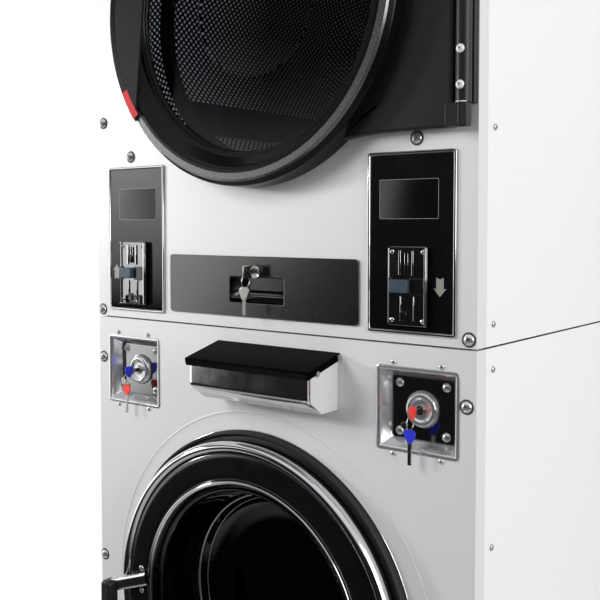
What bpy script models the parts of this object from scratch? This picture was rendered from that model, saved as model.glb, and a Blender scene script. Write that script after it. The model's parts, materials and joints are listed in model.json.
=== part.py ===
"""Coin-operated stacked laundry machine: a tumble dryer on top of a washer-extractor.

Metres, +Z up. The front faces -Y, +X is on the right of someone standing in front,
and the origin is on the floor under the middle of the machine's box.
Depths are counted from the outer face of the front panels into the machine.
"""

import math

import bmesh
import bpy
from mathutils import Matrix, Vector

for leftover in list(bpy.data.objects):
    bpy.data.objects.remove(leftover, do_unlink=True)

# Cabinet
CABINET_W = 0.86
CABINET_D = 0.95
HEADROOM = 0.037
SEAM_GAP = 0.003
SHEET = 0.002
FOLD = 0.03
TOP_H = 0.03
GAP = 0.0003

# Base and feet
FOOT_H = 0.035
FOOT_R = 0.03
STUD_R = 0.008
FOOT_INSET_X = 0.07
FOOT_INSET_Y = 0.08
RAIL_H = 0.06
RAIL_W = 0.06
RAIL_INSET = 0.005
FRONT_CROSS = 0.22
SADDLE_MOTOR_GAP = 0.02
SADDLE_W = 0.06

# Dryer port, drum and casing
DRYER_RISE = 0.575
DRYER_PORT_R = 0.275
CASING_SIDE_GAP = 0.040
DRUM_CLEARANCE = 0.026
DRYER_MOUTH_R = 0.285
DRYER_DRUM_FRONT = 0.05
CASING_REAR_GAP = 0.148
DRUM_BACK_GAP = 0.10
DRUM_WALL = 0.003
SHAFT_R = 0.025
LIFTER_H = 0.07
LIFTER_W = 0.05
AIR_SLOT_W = 0.30
HUB_R = 0.07
HUB_L = 0.035
HUB_CLEARANCE = 0.0006

# Dryer door
DOOR_R = 0.322
DOOR_CROWN_R = 0.306
DOOR_OUT = 0.061
DOOR_ROUND = 0.009
DOOR_SEAL_GAP = 0.008
DOOR_GLASS_R = 0.2697
DOOR_LIP_R = 0.258
DOOR_GLASS_T = 0.0057
PLATE_FRONT = 0.025
PLATE_BACK = 0.010
PLATE_HALF_H = 0.243
PLATE_HINGE_GAP = 0.0155
PLATE_FLAT_X = 0.31
PLATE_MEET_DEG = 58.0
PLATE_WELD = 0.012
CHORD_X = 0.223
HANDLE_T = 0.005
HANDLE_INSET = 0.001
HINGE_EDGE = 0.0135
HINGE_OUT = 0.028
HINGE_R = 0.0085
HINGE_PIN_R = 0.004
HINGE_HALF_H = 0.208
KNUCKLE_H = 0.035
LEAF_W = 0.018
PIN_CLEARANCE = 0.0003

# Washer tub, drum and door
WASHER_Z = 0.486
WASHER_RISE = 0.514
WASHER_HOLE_R = 0.298
TUB_R = 0.345
TUB_WALL = 0.004
TUB_REAR_GAP = 0.228
TUB_CLEARANCE = 0.023
TUB_MOUTH_R = 0.285
GASKET_BACK = 0.045
WASHER_MOUTH_R = 0.265
WASHER_DRUM_FRONT = 0.065
WASHER_DRUM_GAP = 0.033
PORT_FOOT_R = 0.367
PORT_RIM_R = 0.339
PORT_IN_R = 0.325
PORT_OUT = 0.024
PORT_FLARE = 0.006
GASKET_OUT = 0.014
GASKET_IN_R = 0.290
WDOOR_R = 0.318
WDOOR_OUT = 0.046
WDOOR_BAND_OUT = 0.040
WDOOR_GLASS_R = 0.2445
WDOOR_LIP_R = 0.238
WGLASS_T = 0.006
BOWL_DEPTH = 0.10
BOWL_R = 0.215
WHINGE_X = 0.345
WHINGE_OUT = 0.035
WHINGE_HALF_H = 0.03
WKNUCKLE_H = 0.03
WHINGE_BASE_GAP = 0.027
WHINGE_BASE_W = 0.038
LEVER_X = -0.268
LEVER_RISE = 0.012
LEVER_ARM = 0.075
LEVER_TAIL = 0.034
LEVER_TILT_DEG = 20.0
LEVER_T = 0.008
LEVER_W = 0.024
LEVER_OUT = 0.052
GRIP_H = 0.085
GRIP_W = 0.026
GRIP_T = 0.022

# Belt drives
PULLEY_T = 0.02
DRYER_PULLEY_R = 0.22
WASHER_PULLEY_R = 0.19
DRYER_PULLEY_GAP = 0.010
WASHER_PULLEY_GAP = 0.0197
MOTOR_R = 0.07
MOTOR_L = 0.24
MOTOR_FOOT = 0.02
MOTOR_SHAFT_R = 0.011
DRYER_MOTOR_X = 0.26
DRYER_MOTOR_SETBACK = 0.105
DRYER_MOTOR_PULLEY_R = 0.04
WASHER_MOTOR_GAP = 0.0204
WASHER_MOTOR_SETBACK = 0.10
MOTOR_CROSS = 0.10
WASHER_MOTOR_PULLEY_R = 0.035
BELT_T = 0.005
BELT_MARGIN = 0.003
BEARING_R = 0.10
BEARING_L = 0.06

# Blower and heater
BLOWER_X = -0.24
BLOWER_R = 0.105
BLOWER_DEPTH = 0.45
BLOWER_L = 0.15
BLOWER_INLET_R = 0.06
DUCT_R = 0.06
DUCT_OUT = 0.06
BLOWER_WALL = 0.002
IMPELLER_R = 0.085
IMPELLER_BLADES = 8
HEATER_W = 0.12
HEATER_H = 0.095
HEATER_L = 0.50
HEATER_DEPTH = 0.25
VALVE_R = 0.025
VALVE_L = 0.12
VALVE_DEPTH = 0.36

# Lint drawer
LINT_MARGIN = 0.0175
LINT_H = 0.109
LINT_RISE = 0.0769
LINT_T = 0.004
TRAY_INSET = 0.023
TRAY_H = 0.088
TRAY_L = 0.34
TRAY_WALL = 0.002
PULL_W = 0.124
PULL_H = 0.046
PULL_DROP = 0.0064
PULL_DEPTH = 0.022
PULL_WALL = 0.004
LOCK_RISE = 0.0281
LOCK_R = 0.0095
LOCK_CLEARANCE = 0.0003
LOCK_FLANGE_R = 0.0125
LOCK_L = 0.02
KEY_W = 0.022
KEY_T = 0.003
KEY_OUT = 0.04

# Control panels and coin acceptors, one on each side
PANEL_EDGE = 0.1145
PANEL_RISE = 0.1594
PANEL_W = 0.160
PANEL_H = 0.287
BEZEL_W = 0.005
BEZEL_T = 0.004
CONTROL_GLASS_T = 0.004
CONTROL_GLASS_OUT = 0.002
ACCEPTOR_W = 0.069
ACCEPTOR_H = 0.124
ACCEPTOR_DROP = 0.0674
ACCEPTOR_T = 0.009
ACCEPTOR_BODY_W = 0.056
ACCEPTOR_BODY_H = 0.108
ACCEPTOR_BODY_L = 0.08
RETURN_W = 0.032
RETURN_H = 0.020
RETURN_T = 0.012
RETURN_OFFSET_X = -0.011
RETURN_TRAVEL = 0.004

# Coin vaults, one on each side
VAULT_EDGE = 0.103
VAULT_DROP = 0.1044
VAULT_W = 0.138
VAULT_H = 0.1256
VAULT_DEPTH = 0.024
VAULT_SLOPE = 0.010
VAULT_LIP = 0.006
VAULT_LIP_T = 0.001
VAULT_WALL = 0.002
VAULT_PLATE_W = 0.112
VAULT_PLATE_H = 0.100
VAULT_PLATE_T = 0.004
COIN_BOX_W = 0.085
COIN_BOX_H = 0.075
COIN_BOX_L = 0.16
COIN_LOCK_R = 0.0085
ESCUTCHEON_R = 0.030
ESCUTCHEON_OUT = 0.010
COIN_KEY_OUT = 0.032

# Soap box
SOAP_X = 0.042
SOAP_W = 0.266
SOAP_D = 0.085
SOAP_H = 0.098
SOAP_DROP = 0.024
SOAP_WALL = 0.002
SOAP_ROUND = 0.018
LID_SLOPE_DEG = 14.8
LID_T = 0.013
LID_LIP = 0.004
LID_OVERHANG = 0.007
LID_SHEET = 0.002
LID_HINGE_OUT = 0.004

# Facets round a turned piece
STEPS_DOOR = 44
STEPS_DRUM = 32
STEPS_SMALL = 16
BELT_FACETS = (32, 10)

# Places that follow from the sizes above
SIDE_X = CABINET_W / 2
SEAM_Z = WASHER_Z + WASHER_RISE
LEVER_Z = WASHER_Z + LEVER_RISE
DRYER_Z = SEAM_Z + DRYER_RISE
CASING_R = SIDE_X - SHEET - CASING_SIDE_GAP
DRYER_DRUM_R = CASING_R - SHEET - DRUM_CLEARANCE
CABINET_H = DRYER_Z + CASING_R + HEADROOM
CASING_BACK = CABINET_D - SHEET - CASING_REAR_GAP
DRYER_DRUM_BACK = CASING_BACK - DRUM_BACK_GAP
DRYER_PULLEY_DEPTH = CASING_BACK + HUB_L + DRYER_PULLEY_GAP
DRYER_MOTOR_DEPTH = DRYER_PULLEY_DEPTH - MOTOR_L - DRYER_MOTOR_SETBACK
TUB_BACK = CABINET_D - SHEET - TUB_REAR_GAP
WASHER_DRUM_R = TUB_R - TUB_WALL - TUB_CLEARANCE
WASHER_DRUM_BACK = TUB_BACK - TUB_WALL - WASHER_DRUM_GAP
WASHER_PULLEY_DEPTH = TUB_BACK + GAP + BEARING_L + WASHER_PULLEY_GAP
WASHER_MOTOR_DEPTH = WASHER_PULLEY_DEPTH - MOTOR_L - WASHER_MOTOR_SETBACK
CROSS_DEPTHS = (FRONT_CROSS, WASHER_MOTOR_DEPTH + MOTOR_CROSS)
HINGE_X = SIDE_X - HINGE_EDGE
PLATE_RIGHT_X = HINGE_X - PLATE_HINGE_GAP
WHINGE_BASE_X = (WHINGE_X + WHINGE_BASE_GAP, WHINGE_X + WHINGE_BASE_GAP + WHINGE_BASE_W)
PANEL_X = SIDE_X - PANEL_EDGE
PANEL_Z = SEAM_Z + PANEL_RISE
ACCEPTOR_Z = PANEL_Z - ACCEPTOR_DROP
LINT_W = 2 * (PANEL_X - PANEL_W / 2 - LINT_MARGIN)
LINT_Z = SEAM_Z + LINT_RISE
TRAY_W = LINT_W - 2 * TRAY_INSET
PULL_Z = LINT_Z - PULL_DROP
LOCK_Z = LINT_Z + LOCK_RISE
VAULT_X = SIDE_X - VAULT_EDGE
VAULT_Z = SEAM_Z - VAULT_DROP
SOAP_HINGE_Z = SEAM_Z - SOAP_DROP
SOAP_BOTTOM = SOAP_HINGE_Z - SOAP_H
HANDLE_RADIUS = DOOR_R - DOOR_ROUND - HANDLE_INSET
CHORD_DEG = math.degrees(math.acos(CHORD_X / HANDLE_RADIUS))
FRONT_PROUD = SOAP_D + LID_OVERHANG
FRONT_Y = -(CABINET_D + DUCT_OUT - FRONT_PROUD) / 2
BASE_TOP = FOOT_H + RAIL_H
PANEL_BOTTOM = BASE_TOP + GAP
DECK_TOP = SEAM_Z - SEAM_GAP / 2
WASHER_MOTOR_Z = BASE_TOP + GAP + MOTOR_FOOT / 2 + MOTOR_R
WASHER_MOTOR_X = math.sqrt((TUB_R + MOTOR_R + WASHER_MOTOR_GAP) ** 2
                           - (WASHER_Z - WASHER_MOTOR_Z) ** 2)
SADDLE_X = WASHER_MOTOR_X - MOTOR_R - SADDLE_W - SADDLE_MOTOR_GAP
SIDES = (("left", -1), ("right", 1))

# Finishes: colour (linear), roughness, metallic
STAINLESS = ((0.72, 0.72, 0.72), 0.32, 1.0)
POLISHED = ((0.80, 0.80, 0.81), 0.10, 1.0)
CHARCOAL = ((0.022, 0.022, 0.024), 0.45, 0.0)
BLACK = ((0.010, 0.010, 0.011), 0.35, 0.0)
RUBBER = ((0.015, 0.015, 0.015), 0.75, 0.0)
GLASS = ((0.020, 0.022, 0.024), 0.05, 0.0)
PAINTED = ((0.75, 0.76, 0.77), 0.40, 0.0)
ZINC = ((0.50, 0.51, 0.52), 0.40, 1.0)
CAST = ((0.10, 0.11, 0.12), 0.55, 0.6)
MOTOR_BLUE = ((0.08, 0.11, 0.16), 0.45, 0.2)
BRASS = ((0.60, 0.45, 0.20), 0.30, 1.0)

parts = bpy.data.collections.new("stack_washer_dryer")
tools = bpy.data.collections.new("cutters")
for collection in (parts, tools):
    bpy.context.scene.collection.children.link(collection)


def depth_y(depth):
    """World Y of a depth behind the front panels' outer face."""
    return FRONT_Y + depth


def material(name, finish):
    colour, roughness, metallic = finish
    made = bpy.data.materials.new(name)
    made.use_nodes = True
    shader = made.node_tree.nodes["Principled BSDF"]
    shader.inputs["Base Color"].default_value = (*colour, 1.0)
    shader.inputs["Roughness"].default_value = roughness
    shader.inputs["Metallic"].default_value = metallic
    return made


def place(name, data, finish, location):
    """Puts a new object in the parts, or among the tools when it has no finish."""
    made = bpy.data.objects.new(name, data)
    made.location = location
    if finish is None:
        made.hide_render = True
        made.display_type = "WIRE"
        tools.objects.link(made)
    else:
        data.materials.append(material(name, finish))
        parts.objects.link(made)
    return made


def block(name, x, y, z, finish=None, bevel=None):
    """A box between three pairs of limits; bevel is (radius, chosen) for the edges that chosen accepts."""
    low = Vector((x[0], y[0], z[0]))
    high = Vector((x[1], y[1], z[1]))
    size = high - low
    shape = bmesh.new()
    bmesh.ops.create_cube(shape, size=1.0, matrix=Matrix.Diagonal((*size, 1.0)))
    if bevel:
        radius, chosen = bevel
        edges = [e for e in shape.edges if chosen((e.verts[0].co + e.verts[1].co) / 2, size / 2)]
        bmesh.ops.bevel(shape, geom=edges, offset=radius, segments=4, profile=0.5, affect="EDGES")
    mesh = bpy.data.meshes.new(name)
    shape.to_mesh(mesh)
    shape.free()
    return place(name, mesh, finish, (low + high) / 2)


def turned(name, profile, centre, finish=None, steps=STEPS_DRUM, axis="Y", ring=False):
    """A turned piece: its profile (radius, distance along the axis) runs far to near outside, then back."""
    points = [(radius, 0.0, along) for radius, along in profile]
    edges = [(i, i + 1) for i in range(len(points) - 1)]
    if ring:
        edges.append((len(points) - 1, 0))
    mesh = bpy.data.meshes.new(name)
    mesh.from_pydata(points, edges, [])
    made = place(name, mesh, finish, centre)
    if axis == "Y":
        made.rotation_euler.x = -math.pi / 2
    if axis == "X":
        made.rotation_euler.y = math.pi / 2
    screw = made.modifiers.new("turn", "SCREW")
    screw.axis = "Z"
    screw.angle = math.tau
    screw.steps = steps
    screw.render_steps = steps
    screw.use_merge_vertices = True
    screw.merge_threshold = 0.00001
    screw.use_smooth_shade = True
    return made


def rod(name, radius, near, far, centre, finish=None, steps=STEPS_SMALL, axis="Y"):
    profile = [(0.0, far), (radius, far), (radius, near), (0.0, near)]
    return turned(name, profile, centre, finish, steps, axis)


def outline(name, loops, near, far, centre, finish=None):
    """A flat plate in X and Z between two depths: the first loop is its edge, the others are holes."""
    curve = bpy.data.curves.new(name, "CURVE")
    curve.dimensions = "2D"
    curve.fill_mode = "BOTH"
    curve.extrude = (far - near) / 2
    for loop in loops:
        spline = curve.splines.new("POLY")
        spline.points.add(len(loop) - 1)
        for point, (x, z) in zip(spline.points, loop):
            point.co = (x, z, 0.0, 1.0)
        spline.use_cyclic_u = True
    drawn = bpy.data.objects.new(name + "_drawn", curve)
    drawn.location = (centre[0], (near + far) / 2, centre[1])
    drawn.rotation_euler.x = math.pi / 2
    bpy.context.scene.collection.objects.link(drawn)
    bpy.context.view_layer.update()
    graph = bpy.context.evaluated_depsgraph_get()
    mesh = bpy.data.meshes.new_from_object(drawn.evaluated_get(graph))
    mesh.name = name
    mesh.materials.clear()
    made = place(name, mesh, finish, drawn.location.copy())
    made.rotation_euler = drawn.rotation_euler.copy()
    bpy.data.objects.remove(drawn, do_unlink=True)
    shape = bmesh.new()
    shape.from_mesh(mesh)
    bmesh.ops.remove_doubles(shape, verts=shape.verts, dist=0.00001)
    bmesh.ops.recalc_face_normals(shape, faces=shape.faces)
    shape.to_mesh(mesh)
    shape.free()
    return made


def arc(radius, start_deg, end_deg, count, centre=(0.0, 0.0)):
    angles = [math.radians(start_deg + (end_deg - start_deg) * i / count) for i in range(count + 1)]
    return [(centre[0] + radius * math.cos(a), centre[1] + radius * math.sin(a)) for a in angles]


def shape_with(target, tool, operation):
    change = target.modifiers.new(operation.lower(), "BOOLEAN")
    change.operation = operation
    change.solver = "EXACT"
    change.object = tool


def cut(target, *cutters):
    for tool in cutters:
        shape_with(target, tool, "DIFFERENCE")


def fuse(target, *pieces):
    for tool in pieces:
        shape_with(target, tool, "UNION")


def span(centre, width):
    return (centre - width / 2, centre + width / 2)


def tray(name, x, y, z, open_face, finish):
    """A folded sheet tray: a box of sheet with one face left open, named by its axis and sign."""
    inner = [[x[0] + SHEET, x[1] - SHEET], [y[0] + SHEET, y[1] - SHEET], [z[0] + SHEET, z[1] - SHEET]]
    axis = "XYZ".index(open_face[1])
    inner[axis][1 if open_face[0] == "+" else 0] += FOLD if open_face[0] == "+" else -FOLD
    made = block(name, x, y, z, finish)
    cut(made, block(name + "_inside", *inner))
    return made


def moving(name, x, depth, z, *pieces):
    """Hangs pieces on an empty that stands on their joint's axis."""
    pivot = bpy.data.objects.new(name + "_pivot", None)
    pivot.location = (x, depth_y(depth), z)
    parts.objects.link(pivot)
    for piece in pieces:
        piece.parent = pivot
        piece.matrix_parent_inverse = Matrix.Translation(-pivot.location)
    return pivot


def base_and_feet():
    y = (depth_y(RAIL_INSET), depth_y(CABINET_D - RAIL_INSET))
    frame_x = SIDE_X - RAIL_INSET
    frame = block("base_frame", (-frame_x, frame_x), y, (FOOT_H, BASE_TOP), CAST)
    crossings = [depth_y(depth) for depth in CROSS_DEPTHS]
    starts = [y[0] + RAIL_W] + [crossing + RAIL_W for crossing in crossings]
    ends = crossings + [y[1] - RAIL_W]
    window_x = frame_x - RAIL_W
    for i, (start, end) in enumerate(zip(starts, ends)):
        cut(frame, block(f"base_window_{i}", (-window_x, window_x), (start, end),
                         (0.0, BASE_TOP + FOOT_H)))
    for i, crossing in enumerate(crossings):
        for side, sign in SIDES:
            x = sorted((sign * SADDLE_X, sign * (SADDLE_X + SADDLE_W)))
            saddle = block(f"saddle_{side}_{i}", x, (crossing, crossing + RAIL_W),
                           (BASE_TOP - RAIL_H / 2, WASHER_Z - TUB_R / 2))
            fuse(frame, saddle)
    hollow = rod("saddle_hollow", TUB_R + GAP, 0.0, CABINET_D, (0.0, FRONT_Y, WASHER_Z),
                 steps=STEPS_DRUM)
    cut(frame, hollow)
    pad_h = FOOT_H / 3
    profile = [(0.0, FOOT_H - GAP), (STUD_R, FOOT_H - GAP), (STUD_R, pad_h), (FOOT_R * 0.6, pad_h),
               (FOOT_R, pad_h / 2),
               (FOOT_R, 0.0), (0.0, 0.0)]
    for end, depth in (("front", FOOT_INSET_Y), ("rear", CABINET_D - FOOT_INSET_Y)):
        for side, sign in SIDES:
            spot = (sign * (SIDE_X - FOOT_INSET_X), depth_y(depth), 0.0)
            turned(f"levelling_foot_{end}_{side}", profile, spot, RUBBER, STEPS_SMALL, axis="Z")


def cabinet():
    full_x = (-SIDE_X, SIDE_X)
    rear_y = (depth_y(CABINET_D - SHEET), depth_y(CABINET_D))
    side_y = (depth_y(FOLD + GAP), depth_y(CABINET_D - SHEET - GAP))
    units = (("washer", PANEL_BOTTOM, SEAM_Z - SEAM_GAP / 2),
             ("dryer", SEAM_Z + SEAM_GAP / 2, CABINET_H - TOP_H - GAP))
    fronts = {}
    rears = {}
    for unit, low, high in units:
        fronts[unit] = tray(f"{unit}_front_panel", full_x, (FRONT_Y, depth_y(FOLD)), (low, high), "+Y",
                            STAINLESS)
        rears[unit] = block(f"{unit}_rear_panel", full_x, rear_y, (low, high), PAINTED)
        for side, sign in SIDES:
            x = sorted((sign * (SIDE_X - SHEET), sign * SIDE_X))
            block(f"{unit}_side_{side}", x, side_y, (low, high), PAINTED)
    deck_x = SIDE_X - SHEET - GAP
    deck_z = (DECK_TOP - FOLD, DECK_TOP)
    tray("middle_deck", (-deck_x, deck_x), side_y, deck_z, "-Z", ZINC)
    tray("top_cover", full_x, (FRONT_Y, depth_y(CABINET_D)), (CABINET_H - TOP_H, CABINET_H), "-Z",
         STAINLESS)

    through = (-FOLD, FOLD)
    cut(fronts["washer"], rod("washer_hole", WASHER_HOLE_R, *through, (0.0, FRONT_Y, WASHER_Z),
                              steps=STEPS_DOOR))
    cut(fronts["dryer"], rod("dryer_hole", DRYER_PORT_R, *through, (0.0, FRONT_Y, DRYER_Z),
                             steps=STEPS_DOOR))
    hole_y = (depth_y(-FOLD), depth_y(FOLD / 2))
    for side, sign in SIDES:
        cut(fronts["washer"], block(f"vault_hole_{side}", span(sign * VAULT_X, VAULT_W), hole_y,
                                    span(VAULT_Z, VAULT_H)))
        window = (span(sign * PANEL_X, PANEL_W - 2 * BEZEL_W), hole_y,
                  span(PANEL_Z, PANEL_H - 2 * BEZEL_W))
        cut(fronts["dryer"], block(f"control_hole_{side}", *window))
    cut(fronts["dryer"], block("lint_hole", span(0.0, TRAY_W + 2 * TRAY_WALL), hole_y,
                               span(LINT_Z, TRAY_H + 2 * TRAY_WALL)))
    spot = (BLOWER_X, FRONT_Y, DECK_TOP + GAP + BLOWER_R)
    cut(rears["dryer"], rod("duct_hole", DUCT_R + GAP, CABINET_D - FOLD, CABINET_D + FOLD, spot,
                            steps=STEPS_DRUM))


def lifters(name, drum, radius, front, back, height, centre_z):
    """Three lifting ribs along the inside of a drum."""
    for i in range(3):
        rib = block(f"{name}_{i}", span(0.0, LIFTER_W), (depth_y(front), depth_y(back)),
                    (centre_z - radius, centre_z - radius + height))
        rib.location = (0.0, depth_y((front + back) / 2), centre_z)
        rib.data.transform(Matrix.Translation((0.0, 0.0, height / 2 - radius)))
        rib.rotation_euler.y = math.tau * i / 3 + math.pi / 6
        fuse(drum, rib)


def drum_profile(radius, mouth, front, back, shaft_end):
    return [(0.0, shaft_end), (SHAFT_R, shaft_end), (SHAFT_R, back), (radius, back), (radius, front),
            (mouth, front),
            (mouth, front + DRUM_WALL), (radius - DRUM_WALL, front + DRUM_WALL),
            (radius - DRUM_WALL, back - DRUM_WALL),
            (0.0, back - DRUM_WALL)]


def dryer_body():
    centre = (0.0, FRONT_Y, DRYER_Z)
    pulley_back = DRYER_PULLEY_DEPTH + PULLEY_T
    profile = drum_profile(DRYER_DRUM_R, DRYER_MOUTH_R, DRYER_DRUM_FRONT, DRYER_DRUM_BACK, pulley_back)
    drum = turned("dryer_drum", profile, centre, STAINLESS)
    lifters("dryer_lifter", drum, DRYER_DRUM_R - DRUM_WALL / 2, DRYER_DRUM_FRONT + DRUM_WALL / 2,
            DRYER_DRUM_BACK - DRUM_WALL / 2, LIFTER_H, DRYER_Z)
    pulley = drum_pulley("dryer_drum_pulley", DRYER_PULLEY_R, DRYER_PULLEY_DEPTH, centre)
    moving("dryer_drum", 0.0, DRYER_DRUM_FRONT, DRYER_Z, drum, pulley)

    front = SHEET + GAP
    bore = SHAFT_R + HUB_CLEARANCE
    wall = SHEET
    profile = [(bore, CASING_BACK + HUB_L), (HUB_R, CASING_BACK + HUB_L), (HUB_R, CASING_BACK),
               (CASING_R, CASING_BACK),
               (CASING_R, front), (CASING_R - wall, front), (CASING_R - wall, CASING_BACK - wall),
               (bore, CASING_BACK - wall)]
    casing = turned("dryer_casing", profile, centre, ZINC, ring=True)
    slot = block("air_slot", span(0.0, AIR_SLOT_W), (depth_y(FOLD * 2), depth_y(TRAY_L)),
                 (DRYER_Z - CASING_R - FOLD, DRYER_Z - CASING_R * 0.9))
    cut(casing, slot)

    motor_z = DECK_TOP + GAP + MOTOR_FOOT + MOTOR_R
    motor("dryer_motor", DRYER_MOTOR_X, motor_z, DRYER_MOTOR_DEPTH, pulley_back, DECK_TOP + GAP)
    small_pulley("dryer_motor_pulley", DRYER_MOTOR_PULLEY_R, DRYER_PULLEY_DEPTH, DRYER_MOTOR_X, motor_z)
    belt("dryer_belt", DRYER_PULLEY_R, DRYER_MOTOR_PULLEY_R, DRYER_PULLEY_DEPTH, DRYER_Z, DRYER_MOTOR_X,
         motor_z)

    heater_x = (SIDE_X - SHEET - GAP - HEATER_W, SIDE_X - SHEET - GAP)
    heater_top = CABINET_H - TOP_H - GAP
    block("heater_box", heater_x, (depth_y(HEATER_DEPTH), depth_y(HEATER_DEPTH + HEATER_L)),
          (heater_top - HEATER_H, heater_top), ZINC)
    blower()


def blower():
    spot = (BLOWER_X, FRONT_Y, DECK_TOP + GAP + BLOWER_R)
    back = BLOWER_DEPTH + BLOWER_L
    out = CABINET_D + DUCT_OUT
    wall = BLOWER_WALL
    profile = [(DUCT_R, out), (DUCT_R, back), (BLOWER_R, back), (BLOWER_R, BLOWER_DEPTH),
               (BLOWER_INLET_R, BLOWER_DEPTH),
               (BLOWER_INLET_R, BLOWER_DEPTH + wall), (BLOWER_R - wall, BLOWER_DEPTH + wall),
               (BLOWER_R - wall, back - wall),
               (DUCT_R - wall, back - wall), (DUCT_R - wall, out)]
    turned("blower_housing", profile, spot, ZINC, ring=True)
    front = BLOWER_DEPTH + BLOWER_L / 4
    end = back - BLOWER_L / 4
    hub = IMPELLER_R / 4
    disc = [(0.0, end), (IMPELLER_R, end), (IMPELLER_R, end - wall), (hub, end - wall), (hub, front),
            (0.0, front)]
    impeller = turned("blower_impeller", disc, spot, CAST, STEPS_SMALL)
    for i in range(IMPELLER_BLADES):
        blade = block(f"blade_{i}", (hub - wall, IMPELLER_R - wall),
                      (depth_y(front), depth_y(end - wall / 2)), span(spot[2], wall))
        blade.location = (spot[0], blade.location.y, spot[2])
        blade.data.transform(Matrix.Translation(((hub + IMPELLER_R) / 2 - wall, 0.0, 0.0)))
        blade.rotation_euler.y = math.tau * i / IMPELLER_BLADES
        fuse(impeller, blade)
    moving("blower_impeller", BLOWER_X, front, spot[2], impeller)


def drum_pulley(name, radius, depth, centre):
    """A drum's flat-rimmed pulley with a thinner web, bored to sit on the shaft."""
    bore = SHAFT_R + GAP
    rim = radius - BELT_T * 3
    web = PULLEY_T / 3
    profile = [(bore, depth + PULLEY_T), (SHAFT_R * 2, depth + PULLEY_T),
               (SHAFT_R * 2, depth + 2 * web), (rim, depth + 2 * web),
               (rim, depth + PULLEY_T), (radius, depth + PULLEY_T), (radius, depth), (rim, depth),
               (rim, depth + web),
               (bore, depth + web)]
    return turned(name, profile, centre, CAST, ring=True)


def small_pulley(name, radius, depth, x, z):
    bore = MOTOR_SHAFT_R + GAP
    profile = [(bore, depth + PULLEY_T), (radius, depth + PULLEY_T), (radius, depth), (bore, depth)]
    pulley = turned(name, profile, (x, FRONT_Y, z), CAST, STEPS_SMALL, ring=True)
    moving(name, x, depth, z, pulley)


def motor(name, x, z, depth, shaft_end, floor_z):
    """A motor lying along the drum's axis, with its shaft to the rear and a foot on what carries it."""
    back = depth + MOTOR_L
    neck = MOTOR_R * 0.6
    profile = [(0.0, shaft_end), (MOTOR_SHAFT_R, shaft_end), (MOTOR_SHAFT_R, back), (neck, back),
               (MOTOR_R, back - MOTOR_R / 3),
               (MOTOR_R, depth), (0.0, depth)]
    body = turned(name, profile, (x, FRONT_Y, z), MOTOR_BLUE, STEPS_SMALL)
    foot_y = (depth_y(depth + MOTOR_R / 2), depth_y(back - MOTOR_R / 2))
    fuse(body, block(name + "_foot", span(x, MOTOR_R * 1.6), foot_y, (floor_z, z - MOTOR_R / 2)))


def belt(name, big_r, small_r, depth, big_z, small_x, small_z):
    """An open belt: two arcs joined by the pulleys' outer tangents, each facet clear of the pulleys."""
    reach = math.hypot(small_x, small_z - big_z)
    heading = math.degrees(math.atan2(small_z - big_z, small_x))
    wrap = math.degrees(math.acos((big_r - small_r) / reach))
    big_fit = (big_r + GAP) / math.cos(math.radians((180 - wrap) / BELT_FACETS[0]))
    small_fit = (small_r + GAP) / math.cos(math.radians(wrap / BELT_FACETS[1]))
    loops = []
    for offset in (BELT_T, 0.0):
        big = arc(big_fit + offset, heading + wrap, heading + 360 - wrap, BELT_FACETS[0])
        small = arc(small_fit + offset, heading - wrap, heading + wrap, BELT_FACETS[1],
                    (small_x, small_z - big_z))
        loops.append(big + small)
    outline(name, loops, depth_y(depth + BELT_MARGIN), depth_y(depth + PULLEY_T - BELT_MARGIN),
            (0.0, big_z), RUBBER)


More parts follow.
